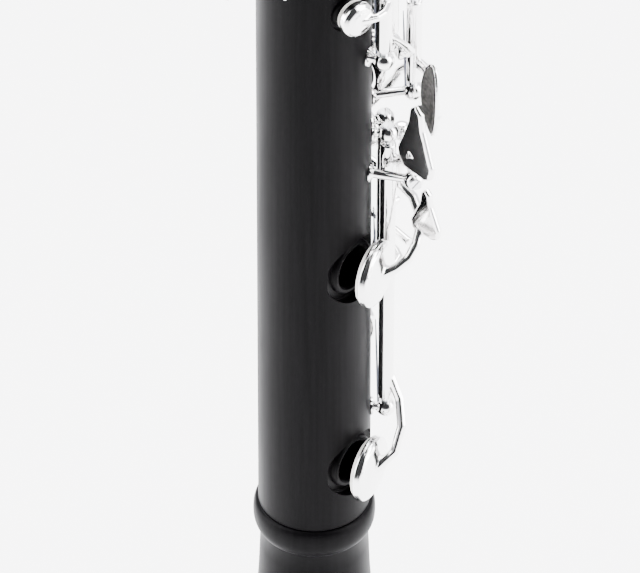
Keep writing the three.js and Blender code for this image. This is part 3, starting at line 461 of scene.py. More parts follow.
def pad_face(node):
    """Centre, outward direction and radius of the flat face that lies nearest to the bore."""
    found = []
    for area, normal, corners in flat_faces(node):
        middle = Vector([(min(c[i] for c in corners) + max(c[i] for c in corners)) / 2 for i in range(3)])
        if area > 20e-6 and -normal.dot(Vector((*middle.xy, 0)).normalized()) > 0.93:
            found.append((middle.xy.length, middle, -normal, max((c - middle).length for c in corners)))
    return min(found, key=lambda face: face[0])[1:]


def turned_by(key, degrees, point, direction):
    """Where a point of a key goes when the key turns by that much on its hinge."""
    turn = Matrix.Rotation(math.radians(degrees), 3, Vector(JOINTS[key]["axis"]))
    pivot = Vector(JOINTS[key]["pos_m"])
    return pivot + turn @ (point - pivot), turn @ direction


def closing_angle(key):
    return max(JOINTS[key]["range_deg"], key=abs) if key in OPEN_STANDING else 0


def pad_of(key):
    """Like pad_face, with the full radius where a pad's edge is cut back from its face."""
    centre, facing, radius = pad_face(PADS.get(key, key))
    if key in PADS:
        spread = points_of(PADS[key]) - np.array(centre)
        away = spread - np.outer(spread @ np.array(facing), np.array(facing))
        radius = float(np.linalg.norm(away, axis=1).max())
    return centre, facing, radius


PAD_FACES = {key: pad_of(key) for key in KEYS if key in PADS or key.startswith(("sliver", "side"))}
HOLES = []
for key, (centre, normal, radius) in PAD_FACES.items():
    closed, facing = turned_by(key, closing_angle(key), centre, normal)
    HOLES.append((closed, facing, radius / MM))
CHIMNEYS = []
for name, (low, high) in OPENINGS.items():
    if name.endswith("_hole"):
        CHIMNEYS.append((Vector(low) + Vector(high)) / 2)
for key, (closed, facing, radius) in zip(PAD_FACES, HOLES):
    print(f"{key:16} angle {angle_of(closed):6.1f}  height {closed.z / MM:6.1f}  pad radius {radius:4.1f}")

# %% [markdown]
# ## Cutting the holes
# A maker sinks the wood round a hole, leaves a crown for the pad and then bores through. The cuts are
# made here in the same order, each time with all the holes of one section joined into one tool.

# %% Cutting them
def sunk_cutter(centre, facing, pad_radius):
    floor = -PAD_GAP - CROWN_RISE
    room = pad_radius + 1.5
    profile = [(0, floor), (room - 0.4, floor), (room, floor + 0.4), (room + 0.5, 9), (0, 9)]
    return turned("cutter", profile, centre, facing, BLACKWOOD, MEDIUM)


def crown(centre, facing, pad_radius):
    foot, top = -PAD_GAP - CROWN_RISE - 1.2, -PAD_GAP
    outer = pad_radius * BORE_SHARE + CROWN_WALL
    profile = [(0, foot), (outer + 0.5, foot), (outer + 0.15, foot + 1.5), (outer - 0.1, top - 0.35),
               (outer - 0.5, top), (0, top)]
    return turned("crown", profile, centre, facing, BLACKWOOD, MEDIUM)


def bore_cutter(centre, facing, pad_radius):
    bore = pad_radius * BORE_SHARE
    depth = 8.5
    profile = [(0, -depth), (bore, -depth), (bore, -PAD_GAP - 0.5), (bore + 0.35, -PAD_GAP + 0.01),
               (bore + 0.5, 9), (0, 9)]
    return turned("bore", profile, centre, facing, BLACKWOOD, MEDIUM)


def chimney_parts(centre, body_radius):
    facing = Vector((centre.x, centre.y, 0)).normalized()
    foot = Vector((0, 0, centre.z))
    top, outer = body_radius + CHIMNEY_RISE, CHIMNEY_BORE + CROWN_WALL
    wall = [(0, body_radius - 3), (outer + 1.2, body_radius - 3), (outer + 0.35, body_radius + 0.1),
            (outer, body_radius + 0.7), (outer, top - 0.5), (outer - 0.5, top), (0, top)]
    hole = [(0, 5), (CHIMNEY_BORE, 5), (CHIMNEY_BORE, top - 0.9), (CHIMNEY_BORE + 0.6, top + 0.01),
            (CHIMNEY_BORE + 0.6, top + 4), (0, top + 4)]
    return (turned("chimney", wall, foot, facing, BLACKWOOD, MEDIUM),
            turned("hole", hole, foot, facing, BLACKWOOD, MEDIUM))


def with_holes(piece, low, high, body_radius):
    """Cuts every tone hole between two heights, both in millimetres."""
    here = [hole for hole in HOLES if low < hole[0].z / MM < high]
    fingers = [chimney_parts(c, body_radius(c.z / MM)) for c in CHIMNEYS if low < c.z / MM < high]
    combined(piece, [sunk_cutter(*hole) for hole in here], "DIFFERENCE")
    combined(piece, [crown(*hole) for hole in here] + [wall for wall, _ in fingers], "UNION")
    bores = [bore_cutter(*hole) for hole in here] + [hole for _, hole in fingers]
    return combined(piece, bores, "DIFFERENCE")


# %% [markdown]
# ## The sections
# Bell, lower joint, upper joint, barrel and mouthpiece are each a profile of their own, with the
# sockets and tenons that hold them together. Edges are rounded where a turner would break them.

# %% Profiles
def extent(node):
    """Lowest and highest point of a node, in millimetres."""
    low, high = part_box(node)
    return low[2] / MM, high[2] / MM


def flowing(points, steps=6):
    """A smooth line through the points, with each gap filled by pieces of a spline."""
    p = [Vector(q) for q in points]
    line = []
    for i in range(len(p) - 1):
        before, after = p[max(i - 1, 0)], p[min(i + 2, len(p) - 1)]
        for k in range(steps):
            t = k / steps
            line.append(tuple(0.5 * (2 * p[i] + (p[i + 1] - before) * t
                                     + (2 * before - 5 * p[i] + 4 * p[i + 1] - after) * t * t
                                     + (3 * p[i] - before - 3 * p[i + 1] + after) * t ** 3)))
    return line + [tuple(p[-1])]


def straight(start, end, step=3.0):
    """Points from start up to, but not including, end."""
    count = max(1, round((Vector(end) - Vector(start)).length / step))
    return [tuple(Vector(start).lerp(Vector(end), k / count)) for k in range(count)]


def edge(radius, height, inward, up, size=0.6):
    """A rounded edge. inward is -1 or 1 along the radius, up is -1 or 1 along the height, and both
    say which way the wood lies. It runs from the side to the end face if up is -1."""
    arc = [(radius + inward * size * (1 - math.cos(a)), height + up * size * (1 - math.sin(a)))
           for a in (0, math.pi / 8, math.pi / 4, 3 * math.pi / 8, math.pi / 2)]
    return arc if up < 0 else arc[::-1]


BELL_TOP, LOWER_TOP = extent("bell")[1], extent("lower_joint")[1]
BARREL_LOW, BARREL_TOP = extent("barrel")
LOWER_LOW, UPPER_LOW = extent("lower_joint")[0], extent("upper_joint")[0]
MOUTHPIECE_LOW, MOUTHPIECE_TOP = extent("mouthpiece")
GAP = 0.12                       # seen between two sections that are pushed together
BORE, FOOT_BORE = 7.4, 10.2
LOWER_RADII, UPPER_RADII = (14.7, 13.9), (13.7, 13.1)
BULGE = 16.2
print("lower joint from", round(LOWER_LOW, 1), "to", round(LOWER_TOP, 1), "mm")


def lower_radius(height):
    return np.interp(height, (BELL_TOP, LOWER_TOP), LOWER_RADII)


def upper_radius(height):
    return np.interp(height, (LOWER_TOP, BARREL_LOW), UPPER_RADII)


# %% [markdown]
# ## Bell
# The bell flares out like a trumpet's. Its outline is a list of shares between neck and rim, joined
# by a spline, and the rounded ring and the socket at its top belong to the same profile.

# %% Bell
def make_bell():
    rim, neck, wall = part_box("bell")[1][0] / MM, 14.1, 2.4
    flare = [(0.0, 1.0), (0.02, 0.985), (0.08, 0.86), (0.17, 0.65), (0.28, 0.43), (0.41, 0.25),
             (0.56, 0.12), (0.72, 0.04), (0.86, 0.01)]
    outside = flowing([(neck + (rim - neck) * out, BELL_TOP * up) for up, out in flare])
    ring = flowing([(neck, BELL_TOP - 9.6), (neck + 0.3, BELL_TOP - 8.9), (15.2, BELL_TOP - 8.1),
                    (15.85, BELL_TOP - 6.4), (16.05, BELL_TOP - 4.2), (15.9, BELL_TOP - 2),
                    (15.4, BELL_TOP - 0.6), (14.8, BELL_TOP - GAP)], 4)
    inside = [(max(radius - wall * (1.25 if height < 6 else 1), FOOT_BORE), height)
              for radius, height in outside[::-1]]
    inside[-1] = (rim - 2.4, 0.0)
    socket = [(12.8, BELL_TOP - GAP), (12.8, LOWER_LOW - 0.3), (FOOT_BORE, LOWER_LOW - 0.3)]
    profile = outside + ring + socket + [p for p in inside if p[1] < LOWER_LOW - 1]
    bell = turned("turned_bell", profile, (0, 0, 0), UP, BLACKWOOD)
    return finish_node(smooth_faces(bell), "bell")


make_bell()


# %% [markdown]
# ## Lower joint
# The lower joint has a tenon at its foot and a thickened socket at its head. Points lie close along
# its side, so that the cuts for the tone holes leave clean faces.

# %% Lower joint
def make_lower_joint():
    floor, tenon = UPPER_LOW - 0.3, 11.3
    foot, start = LOWER_RADII[0], floor - 3.4
    bulge = flowing([(lower_radius(start - 3), start - 3), (lower_radius(start), start), (15.0, start + 1.6),
                     (15.9, start + 3.4), (BULGE, start + 5.6)], 5)
    profile = (
        [(FOOT_BORE, LOWER_LOW)] + edge(tenon, LOWER_LOW, -1, 1, 0.4)
        + straight((tenon, LOWER_LOW + 1), (tenon, BELL_TOP)) + [(tenon, BELL_TOP + GAP)]
        + edge(foot, BELL_TOP + GAP, -1, 1, 0.35)
        + straight((foot, BELL_TOP + 0.7), (lower_radius(start - 3.1), start - 3.1), 2.5)
        + bulge + straight((BULGE, start + 6.4), (BULGE, LOWER_TOP - 1.3))
        + edge(BULGE, LOWER_TOP, -1, -1, 0.9)
        + [(12.1, LOWER_TOP), (11.8, LOWER_TOP - 0.3), (11.8, floor), (BORE, floor)]
        + straight((BORE, floor - 1), (BORE, BELL_TOP + 60), 6)
        + straight((BORE, BELL_TOP + 60), (FOOT_BORE, LOWER_LOW), 6)
    )
    joint = turned("turned_lower_joint", profile, (0, 0, 0), UP, BLACKWOOD)
    with_holes(joint, BELL_TOP, LOWER_TOP, lower_radius)
    return finish_node(smooth_faces(joint), "lower_joint")


make_lower_joint()


# %% [markdown]
# ## Upper joint
# The upper joint has a tenon at each end, and its head swells a little where the barrel sits.

# %% Upper joint
def make_upper_joint():
    tenon, head = 10.3, UPPER_RADII[1]
    top = extent("upper_joint")[1]
    profile = (
        [(BORE, UPPER_LOW)] + edge(tenon, UPPER_LOW, -1, 1, 0.4) + [(tenon, LOWER_TOP + GAP)]
        + edge(UPPER_RADII[0], LOWER_TOP + GAP, -1, 1, 0.35)
        + straight((UPPER_RADII[0], LOWER_TOP + 0.7), (head, BARREL_LOW - 4.6), 2.5)
        + flowing([(head, BARREL_LOW - 4.6), (head + 0.5, BARREL_LOW - 3.6),
                   (head + 1.1, BARREL_LOW - 2.4)], 3)
        + edge(head + 1.2, BARREL_LOW - GAP, -1, -1, 0.5) + [(tenon, BARREL_LOW - GAP)]
        + edge(tenon, top, -1, -1, 0.4) + straight((BORE, top), (BORE, UPPER_LOW), 6)
    )
    joint = turned("turned_upper_joint", profile, (0, 0, 0), UP, BLACKWOOD)
    with_holes(joint, LOWER_TOP, BARREL_LOW, upper_radius)
    return finish_node(smooth_faces(joint), "upper_joint")


make_upper_joint()


# %% [markdown]
# ## Barrel
# The barrel is a short tube with a waist and a socket at each end. It is turned in one profile.

# %% Barrel
def make_barrel():
    low, top, waist = BARREL_LOW, BARREL_TOP, 14.6
    middle = (low + top) / 2
    side = flowing([(BULGE, low + 7.6), (15.75, low + 10.4), (15.15, low + 14.5), (waist + 0.1, middle - 8),
                    (waist, middle), (waist + 0.1, middle + 8), (15.15, top - 14.5), (15.75, top - 10.4),
                    (BULGE, top - 7.6)], 6)
    profile = (
        [(11.8, low)] + edge(BULGE, low, -1, 1, 0.9) + side + edge(BULGE, top, -1, -1, 0.9)
        + [(11.8, top), (11.8, MOUTHPIECE_LOW - 0.3), (BORE, MOUTHPIECE_LOW - 0.3),
           (BORE, extent("upper_joint")[1] + 0.3), (11.8, extent("upper_joint")[1] + 0.3)]
    )
    barrel = turned("turned_barrel", profile, (0, 0, 0), UP, BLACKWOOD)
    return finish_node(smooth_faces(barrel), "barrel")


make_barrel()

# %% [markdown]
# ## Keys
# A key is a tube, arms, a pad cup and a place for the finger, soldered into one piece and polished.
# The frame's key gives the run of the arms. A round tube, a turned cup and turned finger rings go on
# top of it, and the whole is melted together finely, which leaves small fillets where arms meet.

# %% Round tubes, cups and rings
TUBE, CUP_OVER_PAD, RING_HOLE, RING_OUTSIDE = 2.02, 0.9, 5.75, 7.55
VOXEL = 0.00021
KEEP = 0.5                       # share of the faces that stays after melting


def hinge_line(key):
    return Vector(JOINTS[key]["pos_m"]), Vector(JOINTS[key]["axis"]).normalized()


def along_and_away(points, pivot, axis):
    offset = points - np.array(pivot)
    along = offset @ np.array(axis)
    return along, np.linalg.norm(offset - np.outer(along, np.array(axis)), axis=1)


def tube_ends(key):
    """How far a key's tube reaches along its hinge line, in metres from the pivot."""
    along, away = along_and_away(points_of(key), *hinge_line(key))
    on_tube = along[np.abs(away - 2.0 * MM) < 0.05 * MM]
    return float(on_tube.min()), float(on_tube.max())


def round_tube(key):
    pivot, axis = hinge_line(key)
    low, high = (end / MM for end in tube_ends(key))
    profile = [(0, low), (TUBE - 0.3, low), (TUBE, low + 0.3), (TUBE, high - 0.3),
               (TUBE - 0.3, high), (0, high)]
    return turned("tube", profile, pivot, axis, SILVER, MEDIUM)


def round_cup(centre, facing, pad_radius):
    rim = pad_radius + CUP_OVER_PAD
    lip = rim + (0.15 if rim > 6 else 0)
    profile = [(0, 2.2), (rim - 0.7, 2.2), (rim - 0.7, 1.2), (rim - 0.1, 1.1), (lip, 1.3),
               (lip, 1.8), (rim, 2.05), (rim - 0.02, 2.9), (rim * 0.95, 3.3), (rim * 0.85, 3.45),
               (rim * 0.83, 3.8), (rim * 0.45, 4.25), (0, 4.4)]
    return turned("cup", profile, centre, facing, SILVER, MEDIUM)


def chimneys_of(key):
    """Foot and direction of the chimneys under a ring key's rings, turned to where the key rests."""
    places = []
    for centre in CHIMNEYS:
        facing = Vector((centre.x, centre.y, 0)).normalized()
        foot = Vector((0, 0, centre.z))
        foot, facing = turned_by(key, -closing_angle(key), foot, facing)
        body = lower_radius if centre.z / MM < LOWER_TOP else upper_radius
        top = body(centre.z / MM) + CHIMNEY_RISE
        along, away = along_and_away(points_of(key), foot, facing)
        near = np.abs(along / MM - top + 0.8) < 1.0
        if np.any(near & (away / MM < 8.2) & (away / MM > 4.5)) and away.min() / MM < 8:
            places.append((foot, facing, top))
    return places


def ring_parts(foot, facing, top):
    middle = top - 0.8
    edge_line = [(RING_HOLE - 0.25, middle - 0.85), (RING_OUTSIDE - 0.4, middle - 0.9),
                 (RING_OUTSIDE, middle - 0.45), (RING_OUTSIDE + 0.05, middle), (RING_OUTSIDE, middle + 0.4),
                 (RING_OUTSIDE - 0.45, middle + 0.85), (RING_HOLE - 0.25, middle + 0.85)]
    hole = [(0, middle - 3), (RING_HOLE + 0.3, middle - 3), (RING_HOLE + 0.3, middle - 0.85),
            (RING_HOLE, middle - 0.5), (RING_HOLE, middle + 0.4), (RING_HOLE + 0.35, middle + 0.8),
            (RING_HOLE + 0.4, middle + 5), (0, middle + 5)]
    return (turned("ring", edge_line, foot, facing, SILVER, MEDIUM),
            turned("ring_hole", hole, foot, facing, SILVER, FINE))


# %% [markdown]
# ## Finger plates
# A plate for the little finger is a shallow hollow leaf. An outline of the frame's flat face tells
# how long and how wide it is, and a thin dark lining lies in the hollow.

# %% Finger plates with a rim and a dark lining on the underside
def outline(corners, normal, grow):
    """The convex outline of a flat face, in order, grown or shrunk by so many millimetres."""
    centre = sum(corners, Vector()) / len(corners)
    side = normal.orthogonal().normalized()
    across = normal.cross(side)
    flat = sorted({(round((c - centre).dot(side), 7), round((c - centre).dot(across), 7)) for c in corners})
    hull = []
    for points in (flat, flat[::-1]):
        half = []
        for p in points:
            while len(half) > 1 and ((half[-1][0] - half[-2][0]) * (p[1] - half[-2][1])
                                     - (half[-1][1] - half[-2][1]) * (p[0] - half[-2][0])) <= 0:
                half.pop()
            half.append(p)
        hull += half[:-1]
    middle = Vector([sum(p[i] for p in hull) / len(hull) for i in (0, 1)])
    grown = [Vector(p) + (Vector(p) - middle).normalized() * grow * MM for p in hull]
    return [centre + side * p.x + across * p.y for p in grown]


def slab(name, loop, direction, start, end, material):
    """A plate between two levels over an outline."""
    count = len(loop)
    vertices = [p + direction * level * MM for level in (start, end) for p in loop]
    faces = [[k, (k + 1) % count, count + (k + 1) % count, count + k] for k in range(count)]
    faces += [list(range(count))[::-1], list(range(count, 2 * count))]
    return facing_out(new_piece(name, vertices, faces, material))


# %% [markdown]
# ## Melting a key together
# Soldered joints have small fillets. Voxels melt the parts of a key into one skin, smoothing rounds
# its inner corners, and half of the faces are then enough to hold that shape.

# %% Melting a key together
def melted(name, pieces, voxel=VOXEL, keep=KEEP, passes=9):
    whole = joined(name, pieces)
    remesh = whole.modifiers.new("melt", "REMESH")
    remesh.mode, remesh.voxel_size = "VOXEL", voxel
    soften = whole.modifiers.new("soften", "SMOOTH")
    soften.factor, soften.iterations = 0.5, passes
    if keep < 1:
        fewer = whole.modifiers.new("fewer", "DECIMATE")
        fewer.ratio = keep
    applied(whole)
    whole.data.materials.clear()
    whole.data.materials.append(SILVER)
    return whole


def copy_of(node):
    mesh = frame["nodes"][node].data.copy()
    mesh.materials.clear()
    mesh.materials.append(SILVER)
    piece = bpy.data.objects.new("copy", mesh)
    bpy.context.scene.collection.objects.link(piece)
    return facing_out(piece)


LINED = ("low_e_key", "low_f_key", "a_flat_key", "f_sharp_key")
DISH, PLATE = 1.4, 1.05          # depth of a hollow finger plate, and its thickness
PLATE_SINK, LINING_MARGIN = 1.9, 0.9


def hollow_plate(name, centre, hollow, half_length, half_width, levels, material, tip=0.35):
    """A leaf-shaped plate, hollow on the side that `hollow` points to and narrower at its foot."""
    across = UP.cross(hollow).normalized()
    up = hollow.cross(across).normalized()
    if up.z < 0:
        up = -up
    rings, steps = 9, 48
    vertices = []
    for level in levels:
        for ring in range(rings + 1):
            for k in range(steps if ring else 1):
                share, turn = ring / rings, 2 * math.pi * k / steps
                u, v = share * math.cos(turn), share * math.sin(turn)
                narrow = 1 - tip * max(0, -u) ** 1.3
                depth = level + DISH * (v * v + 0.3 * u * u)
                vertices.append(centre + up * u * half_length * MM
                                + across * v * half_width * narrow * MM + hollow * depth * MM)
    faces, size = [], 1 + rings * steps
    for side in (0, size):
        for k in range(steps):
            n = (k + 1) % steps
            faces.append([side, side + 1 + k, side + 1 + n])
            for ring in range(rings - 1):
                a, b = side + 1 + ring * steps, side + 1 + (ring + 1) * steps
                faces.append([a + k, b + k, b + n, a + n])
    rim = 1 + (rings - 1) * steps
    for k in range(steps):
        n = (k + 1) % steps
        faces.append([rim + k, rim + n, size + rim + n, size + rim + k])
    return facing_out(new_piece(name, vertices, faces, material))


def make_key(key):
    parts = [copy_of(key), round_tube(key)]
    if key in PAD_FACES:
        parts.append(round_cup(*PAD_FACES[key][:2], PAD_FACES[key][2] / MM))
    rings = [ring_parts(*place) for place in chimneys_of(key)] if "ring" in key else []
    parts += [band for band, _ in rings]
    if key in LINED:
        pad_depth = PAD_FACES[key][0].dot(PAD_FACES[key][1])
        plate = next(f for f in flat_faces(key) if abs(f[2][0].dot(f[1]) + pad_depth) > 3 * MM)
        loop, hollow = outline(plate[2], plate[1], 0.4), plate[1]
        combined(parts[0], [slab("room", loop, hollow, -2.3, 0.25, SILVER)], "DIFFERENCE")
        middle = sum(loop, Vector()) / len(loop)
        across = UP.cross(hollow).normalized()
        half_length = max(abs((p - middle).z) for p in loop) / MM - 0.3
        half_width = max(abs((p - middle).dot(across)) for p in loop) / MM - 0.2
        back, front = -PLATE_SINK, -PLATE_SINK + PLATE
        parts.append(hollow_plate("plate", middle, hollow, half_length, half_width, (back, front), SILVER))
        # A thin near-black sheet lies in the plate's hollow, on the side that faces the wood, and makes that side
        # dark.
        lining = hollow_plate(f"{key[:-4]}_touch_lining", middle, hollow, half_length - LINING_MARGIN,
                              half_width - LINING_MARGIN, (front - 0.2, front + 0.16), DARK_UNDERSIDE)
        lining.data.shade_smooth()
        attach(lining, key)
    piece = melted(f"{key}_finished", parts)
    combined(piece, [hole for _, hole in rings], "DIFFERENCE")
    piece.data.shade_smooth()
    if rings:
        smooth_faces(piece, 50)
    return finish_node(piece, key, key)


for key in KEYS:
    make_key(key)


# %% [markdown]
# ## Pads
# A pad is a disc of felt in thin skin. It takes the print of the crown that it closes on, so its face
# has a faint ring.

# %% Pads
def make_pad(key):
    """Felt in thin skin, pressed a little where it closes on the crown of its hole."""
    centre, facing, radius = PAD_FACES[key]
    radius = radius / MM + (0.05 if key in PADS else 0.14)
    seat = radius * BORE_SHARE + CROWN_WALL * 0.5
    depth = 1.9 if key in PADS else 1.35
    profile = flowing([(0, 0.06), (seat * 0.5, 0.05), (seat - 0.5, 0.02), (seat, 0.16), (seat + 0.5, 0.03),
                       (radius - 0.45, 0.06), (radius - 0.1, 0.35), (radius, 0.8), (radius, depth - 0.3),
                       (radius - 0.3, depth), (0, depth)], 3)
    pad = turned(f"{key.replace('_key', '')}_felt_pad", profile, centre, facing, PAD_SKIN, MEDIUM)
    pad.data.shade_smooth()
    if key in PADS:
        return finish_node(pad, PADS[key], key)
    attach(pad, key)
    return pad


for key in PAD_FACES:
    make_pad(key)

# %% [markdown]
# ## Rods and posts
# Each hinge line has a steel rod between ball posts that are screwed into the wood. A post is turned
# with a foot, a waist and a ball. The ball is faced flat where the key's tube meets it, and the
# slotted end of the rod shows on the outer side of the line.

# %% Where the posts stand
ROD, BALL, SCREW_HEAD, SLOT_WIDTH = 1.1, 2.6, 1.45, 0.42
HEAD_AT = 1.55                   # from the middle of a ball to the back of a screw head
ROD_NODES = {key: f"{key[:-4]}_hinge_rod" for key in KEYS if f"{key[:-4]}_hinge_rod" in frame["nodes"]}
ROD_NODES |= {key: "lever_hinge_rods" for key in KEYS if key.startswith("lever")}
ROD_NODES |= {key: "left_hinge_rod" for key in ("c_sharp_key", "sliver_e_key")}
ROD_NODES |= {"thumb_ring_key": "thumb_hinge_rod", "f_sharp_key": "f_sharp_cross_rod",
              "throat_a_key": "throat_a_cross_rod", "register_key": "register_cross_rod"}
ROD_NODES |= {key: "side_cross_rod" for key in KEYS if key.startswith("side_key")}


def rod_ends(key):
    """The centres of the two outermost balls on a key's hinge line."""
    pivot, axis = hinge_line(key)
    along, away = along_and_away(points_of(ROD_NODES[key]), pivot, axis)
    near = along[away < 2.75 * MM]
    return pivot + axis * float(near.min() + 2.7 * MM), pivot + axis * float(near.max() - 2.7 * MM)


LINES = {}
for key in KEYS:
    low, high = rod_ends(key)
    LINES.setdefault(tuple(round(c, 4) for c in (*low, *high)), (low, high, []))[2].append(key)
print(len(LINES), "hinge lines")


# %% [markdown]
# ## Turned posts
# A post is spun round a line that points away from the bore, and its ball round the hinge line. The
# rod and its slotted ends are steel, so they are pieces of their own beside the silver posts.

# %% Turned posts
def screw_head(centre, direction):
    """A round head with a slot across it, made of two half moons on a disc."""
    side = direction.orthogonal().normalized()
    across = direction.cross(side)
    disc = [(0, 0), (SCREW_HEAD, 0), (SCREW_HEAD, 0.35), (0, 0.35)]
    parts = [turned("head", disc, centre, direction, STEEL, 32)]
    for sign in (-1, 1):
        reach = math.acos(SLOT_WIDTH / 2 / SCREW_HEAD)
        turns = np.linspace(-reach, reach, 13)
        loop = [centre + (side * math.cos(t) + across * math.sin(t)) * sign * SCREW_HEAD * MM
                for t in turns]
        parts.append(slab("half_moon", loop, direction, 0.3, 0.75, STEEL))
    return parts


def post_parts(centre, rod_direction, body_radius):
    """A post whose ball is at `centre`, with its foot on the wood."""
    outward_way = Vector((centre.x, centre.y, 0)).normalized()
    height = (Vector((centre.x, centre.y, 0)).length / MM) - body_radius
    foot = centre - outward_way * height * MM
    stem = [(0, -1.2), (1.25, -1.2), (1.25, -0.1), (2.35, -0.1), (2.5, 0.15), (2.4, 0.5), (1.5, 0.75),
            (1.2, 1.15), (1.1, max(1.3, height - 2.6)), (1.45, height - 1.9), (1.5, height), (0, height)]
    if height < 3.2:
        stem = [(0, -1.2), (1.25, -1.2), (1.25, -0.1), (2.35, -0.1), (2.5, 0.15), (2.4, 0.5), (1.6, 0.8),
                (1.5, height), (0, height)]
    arc = [(BALL * math.sin(a), -BALL * math.cos(a)) for a in np.linspace(0.72, math.pi - 0.72, 15)]
    ball = [(0, arc[0][1])] + arc + [(0, arc[-1][1])]
    return [turned("stem", stem, foot, outward_way, SILVER, 32),
            turned("ball", ball, centre, rod_direction, SILVER, 40)]


def post_places(low, high, keys):
    """Outermost posts of a line, and one between two tubes that stand well apart."""
    axis = (high - low).normalized()
    spans = []
    for key in keys:
        pivot, line = hinge_line(key)
        spans.append(sorted((pivot + line * end - low).dot(axis) for end in tube_ends(key)))
    spans.sort()
    between = [low + axis * (a[1] + b[0]) / 2 for a, b in zip(spans, spans[1:])
               if b[0] - a[1] > 6 * MM]
    return [low, *between, high], axis


by_node = {}
for low, high, keys in LINES.values():
    places, axis = post_places(low, high, keys)
    body = lower_radius if low.z / MM < LOWER_TOP else upper_radius
    posts, steel = by_node.setdefault(ROD_NODES[keys[0]], ([], []))
    for place in places:
        posts += post_parts(place, axis, float(body(place.z / MM)))
    length = (high - low).length / MM
    steel.append(turned("rod", [(0, 0), (ROD, 0), (ROD, length), (0, length)], low, axis, STEEL, 32))
    steel += screw_head(high + axis * HEAD_AT * MM, axis)
    steel += screw_head(low - axis * HEAD_AT * MM, -axis)

for node, (posts, steel) in by_node.items():
    finished = smooth_faces(joined(f"{node}_posts", posts), 35)
    finish_node(finished, node)
    rods = smooth_faces(joined(f"{node}_steel", steel), 35)
    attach(rods, "joints")

# %% [markdown]
# ## Needle springs
# A key returns by a thin steel needle that is fixed in a post and rests against the key. Needles are
# far smaller than the posts, and one joined piece holds them all.

# %% Needle springs
def needle_spring(key):
    """A thin blued needle that is fixed in a post and presses on the key's tube from beside it."""
    pivot, axis = hinge_line(key)
    low, high = tube_ends(key)
    inward = -Vector((pivot.x, pivot.y, 0)).normalized()
    start = pivot + axis * (low - 2.6 * MM) + inward * 1.9 * MM
    reach = min(high - low - 3 * MM, 26 * MM)
    stop = pivot + axis * (low + reach) + inward * 2.75 * MM
    length = (stop - start).length / MM
    profile = [(0, 0), (0.28, 0), (0.24, length * 0.7), (0.12, length), (0, length)]
    return turned("needle", profile, start, stop - start, BLUED, 12)


needles = [needle_spring(key) for key in KEYS
           if abs(hinge_line(key)[1].z) > 0.9 and tube_ends(key)[1] - tube_ends(key)[0] > 14 * MM]
springs = smooth_faces(joined("needle_springs", needles))
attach(springs, "joints")
print(len(needles), "needle springs")

# %% [markdown]
# ## Tenon corks, mouthpiece, reed and ligature
# Cork rings are hidden in the sockets when the instrument is together. The mouthpiece keeps the
# frame's lay and beak and is melted finely, so that its edges are soft like moulded rubber. The
# ligature is a thin band with rolled edges, two screws with milled heads, and lugs for the screws.

# %% Corks
for name in ("bell_tenon_cork", "middle_tenon_cork", "barrel_tenon_cork", "mouthpiece_tenon_cork"):
    low, high = extent(name)
    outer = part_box(name)[1][0] / MM - 0.02
    inner = outer - 0.85
    ring = turned(f"{name}_ring", [(inner, low)] + edge(outer, low, -1, 1, 0.35)
                  + edge(outer, high, -1, -1, 0.35) + [(inner, high)], (0, 0, 0), UP, CORK, MEDIUM)
    finish_node(smooth_faces(ring), name)

# %% [markdown]
# ## Mouthpiece and reed
# The frame already has the slope and the lay, so its shape is melted finely and only its corners
# change. The round part below the ligature is turned again and laid over it.

# %% Mouthpiece and reed
def softened_copy(node, material, voxel, passes, keep=0.4):
    """The frame's own shape, melted finely so that its corners are a little round."""
    piece = melted(f"{node}_finished", [copy_of(node)], voxel, keep, passes)
    piece.data.materials[0] = material
    piece.data.shade_smooth()
    return piece


def mouthpiece_sleeve():
    """A turned outside for the lower part of the mouthpiece, where the ligature grips."""
    foot = BARREL_TOP + GAP
    side = [(13.6, foot + 1.6), (13.8, foot + 3), (13.45, foot + 6), (13.22, foot + 8.5)]
    profile = [(9, foot)] + edge(13.42, foot, -1, 1, 0.5) + flowing(side, 4) + [(9, foot + 8.5)]
    return turned("sleeve", profile, (0, 0, 0), UP, RUBBER, FINE)


mouthpiece = softened_copy("mouthpiece", RUBBER, 0.0003, 6)
mouthpiece = joined("mouthpiece_moulded", [mouthpiece, mouthpiece_sleeve()])
finish_node(smooth_faces(mouthpiece, 40), "mouthpiece")
reed = softened_copy("reed", CANE, 0.00022, 3)
finish_node(reed, "reed")

# %% [markdown]
# ## Ligature band
# The band is rolled at both edges, which stiffens thin metal. It is turned as one ring and joined to
# the frame's lugs.

# %% Ligature band
def make_ligature():
    low, high = extent("ligature")
    inner, outer = 15.05, 15.95
    roll = [(outer + 0.28 * math.sin(a), 0.45 - 0.45 * math.cos(a)) for a in np.linspace(0, math.pi, 7)]
    side = ([(inner, low), (outer, low)] + [(r, low + h) for r, h in roll]
            + straight((outer, low + 1.4), (outer, high - 1.4), 2) + [(r, high - 0.9 + h) for r, h in roll]
            + [(outer, high), (inner, high)])
    band = turned("band", side, (0, 0, 0), UP, SILVER, FINE)
    lugs = softened_copy("ligature", SILVER, 0.00028, 3)
    return smooth_faces(joined("ligature_band", [lugs, band]), 40)


finish_node(make_ligature(), "ligature")


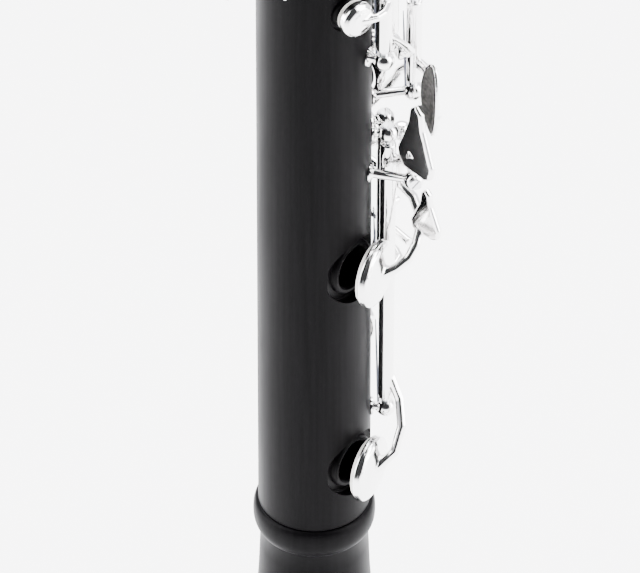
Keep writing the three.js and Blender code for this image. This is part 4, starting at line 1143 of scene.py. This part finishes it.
# %% [markdown]
# ## Milled screws
# A screw that is turned by finger and thumb has notches round its head. Every other row of points on
# the turned head is pulled in, which cuts the notches.

# %% Milled screws
def milled_screw(node):
    """A screw along the side axis, with a head that has fine notches all round."""
    low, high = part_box(node)
    centre = Vector((0, (low[1] + high[1]) / 2, (low[2] + high[2]) / 2))
    tail, head_low, head_high = high[0] / MM, low[0] / MM, low[0] / MM + 8
    along = Vector((1, 0, 0))
    stem = [(0, head_low + 1), (1.3, head_low + 1), (1.3, tail - 0.4), (1.0, tail), (0, tail)]
    shank = turned("shank", stem, centre, along, SILVER, 32)
    steps = 72
    head = turned("head", [(0, head_low), (2.8, head_low), (3.35, head_low + 0.6), (3.35, head_high - 0.6),
                           (2.8, head_high), (0, head_high)], centre, along, SILVER, steps)
    for vertex in head.data.vertices:
        offset = Vector((0, vertex.co.y - centre.y, vertex.co.z - centre.z))
        turn = round(math.atan2(offset.z, offset.y) / (2 * math.pi) * steps)
        if turn % 2 and offset.length > 3.0 * MM:
            vertex.co -= offset.normalized() * 0.28 * MM
    return smooth_faces(joined(f"{node}_milled", [shank, head]), 25)


for name in ("ligature_screw_lower", "ligature_screw_upper"):
    finish_node(milled_screw(name), name)

# %% [markdown]
# ## Thumb rest and register tube
# The thumb rest is cast and then screwed to the wood. The register tube is a short liner that stands
# through the wall into the bore.

# %% Thumb rest, with the screws that hold it, and the register tube
rest = melted("thumb_rest_cast", [copy_of("thumb_rest")], 0.00024, 0.5, 6)
low, high = (Vector(corner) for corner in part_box("thumb_rest"))
plate_face = low.y + 1.6 * MM
heads = []
for share in (0.14, 0.4):
    centre = Vector((0, plate_face, low.z + (high.z - low.z) * share))
    heads += screw_head(centre, Vector((0, 1, 0)))
rest.data.shade_smooth()
finish_node(rest, "thumb_rest")
rest_screws = smooth_faces(joined("thumb_rest_screws", heads), 30)
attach(rest_screws, "joints")

centre, facing, radius = PAD_FACES["register_key"]
wall = [(1.55, -11), (2.5, -11), (2.5, -1.4), (1.55, -1.4)]
liner = turned("register_liner", wall, centre, facing, STEEL, 48)
finish_node(smooth_faces(liner), "register_tube")
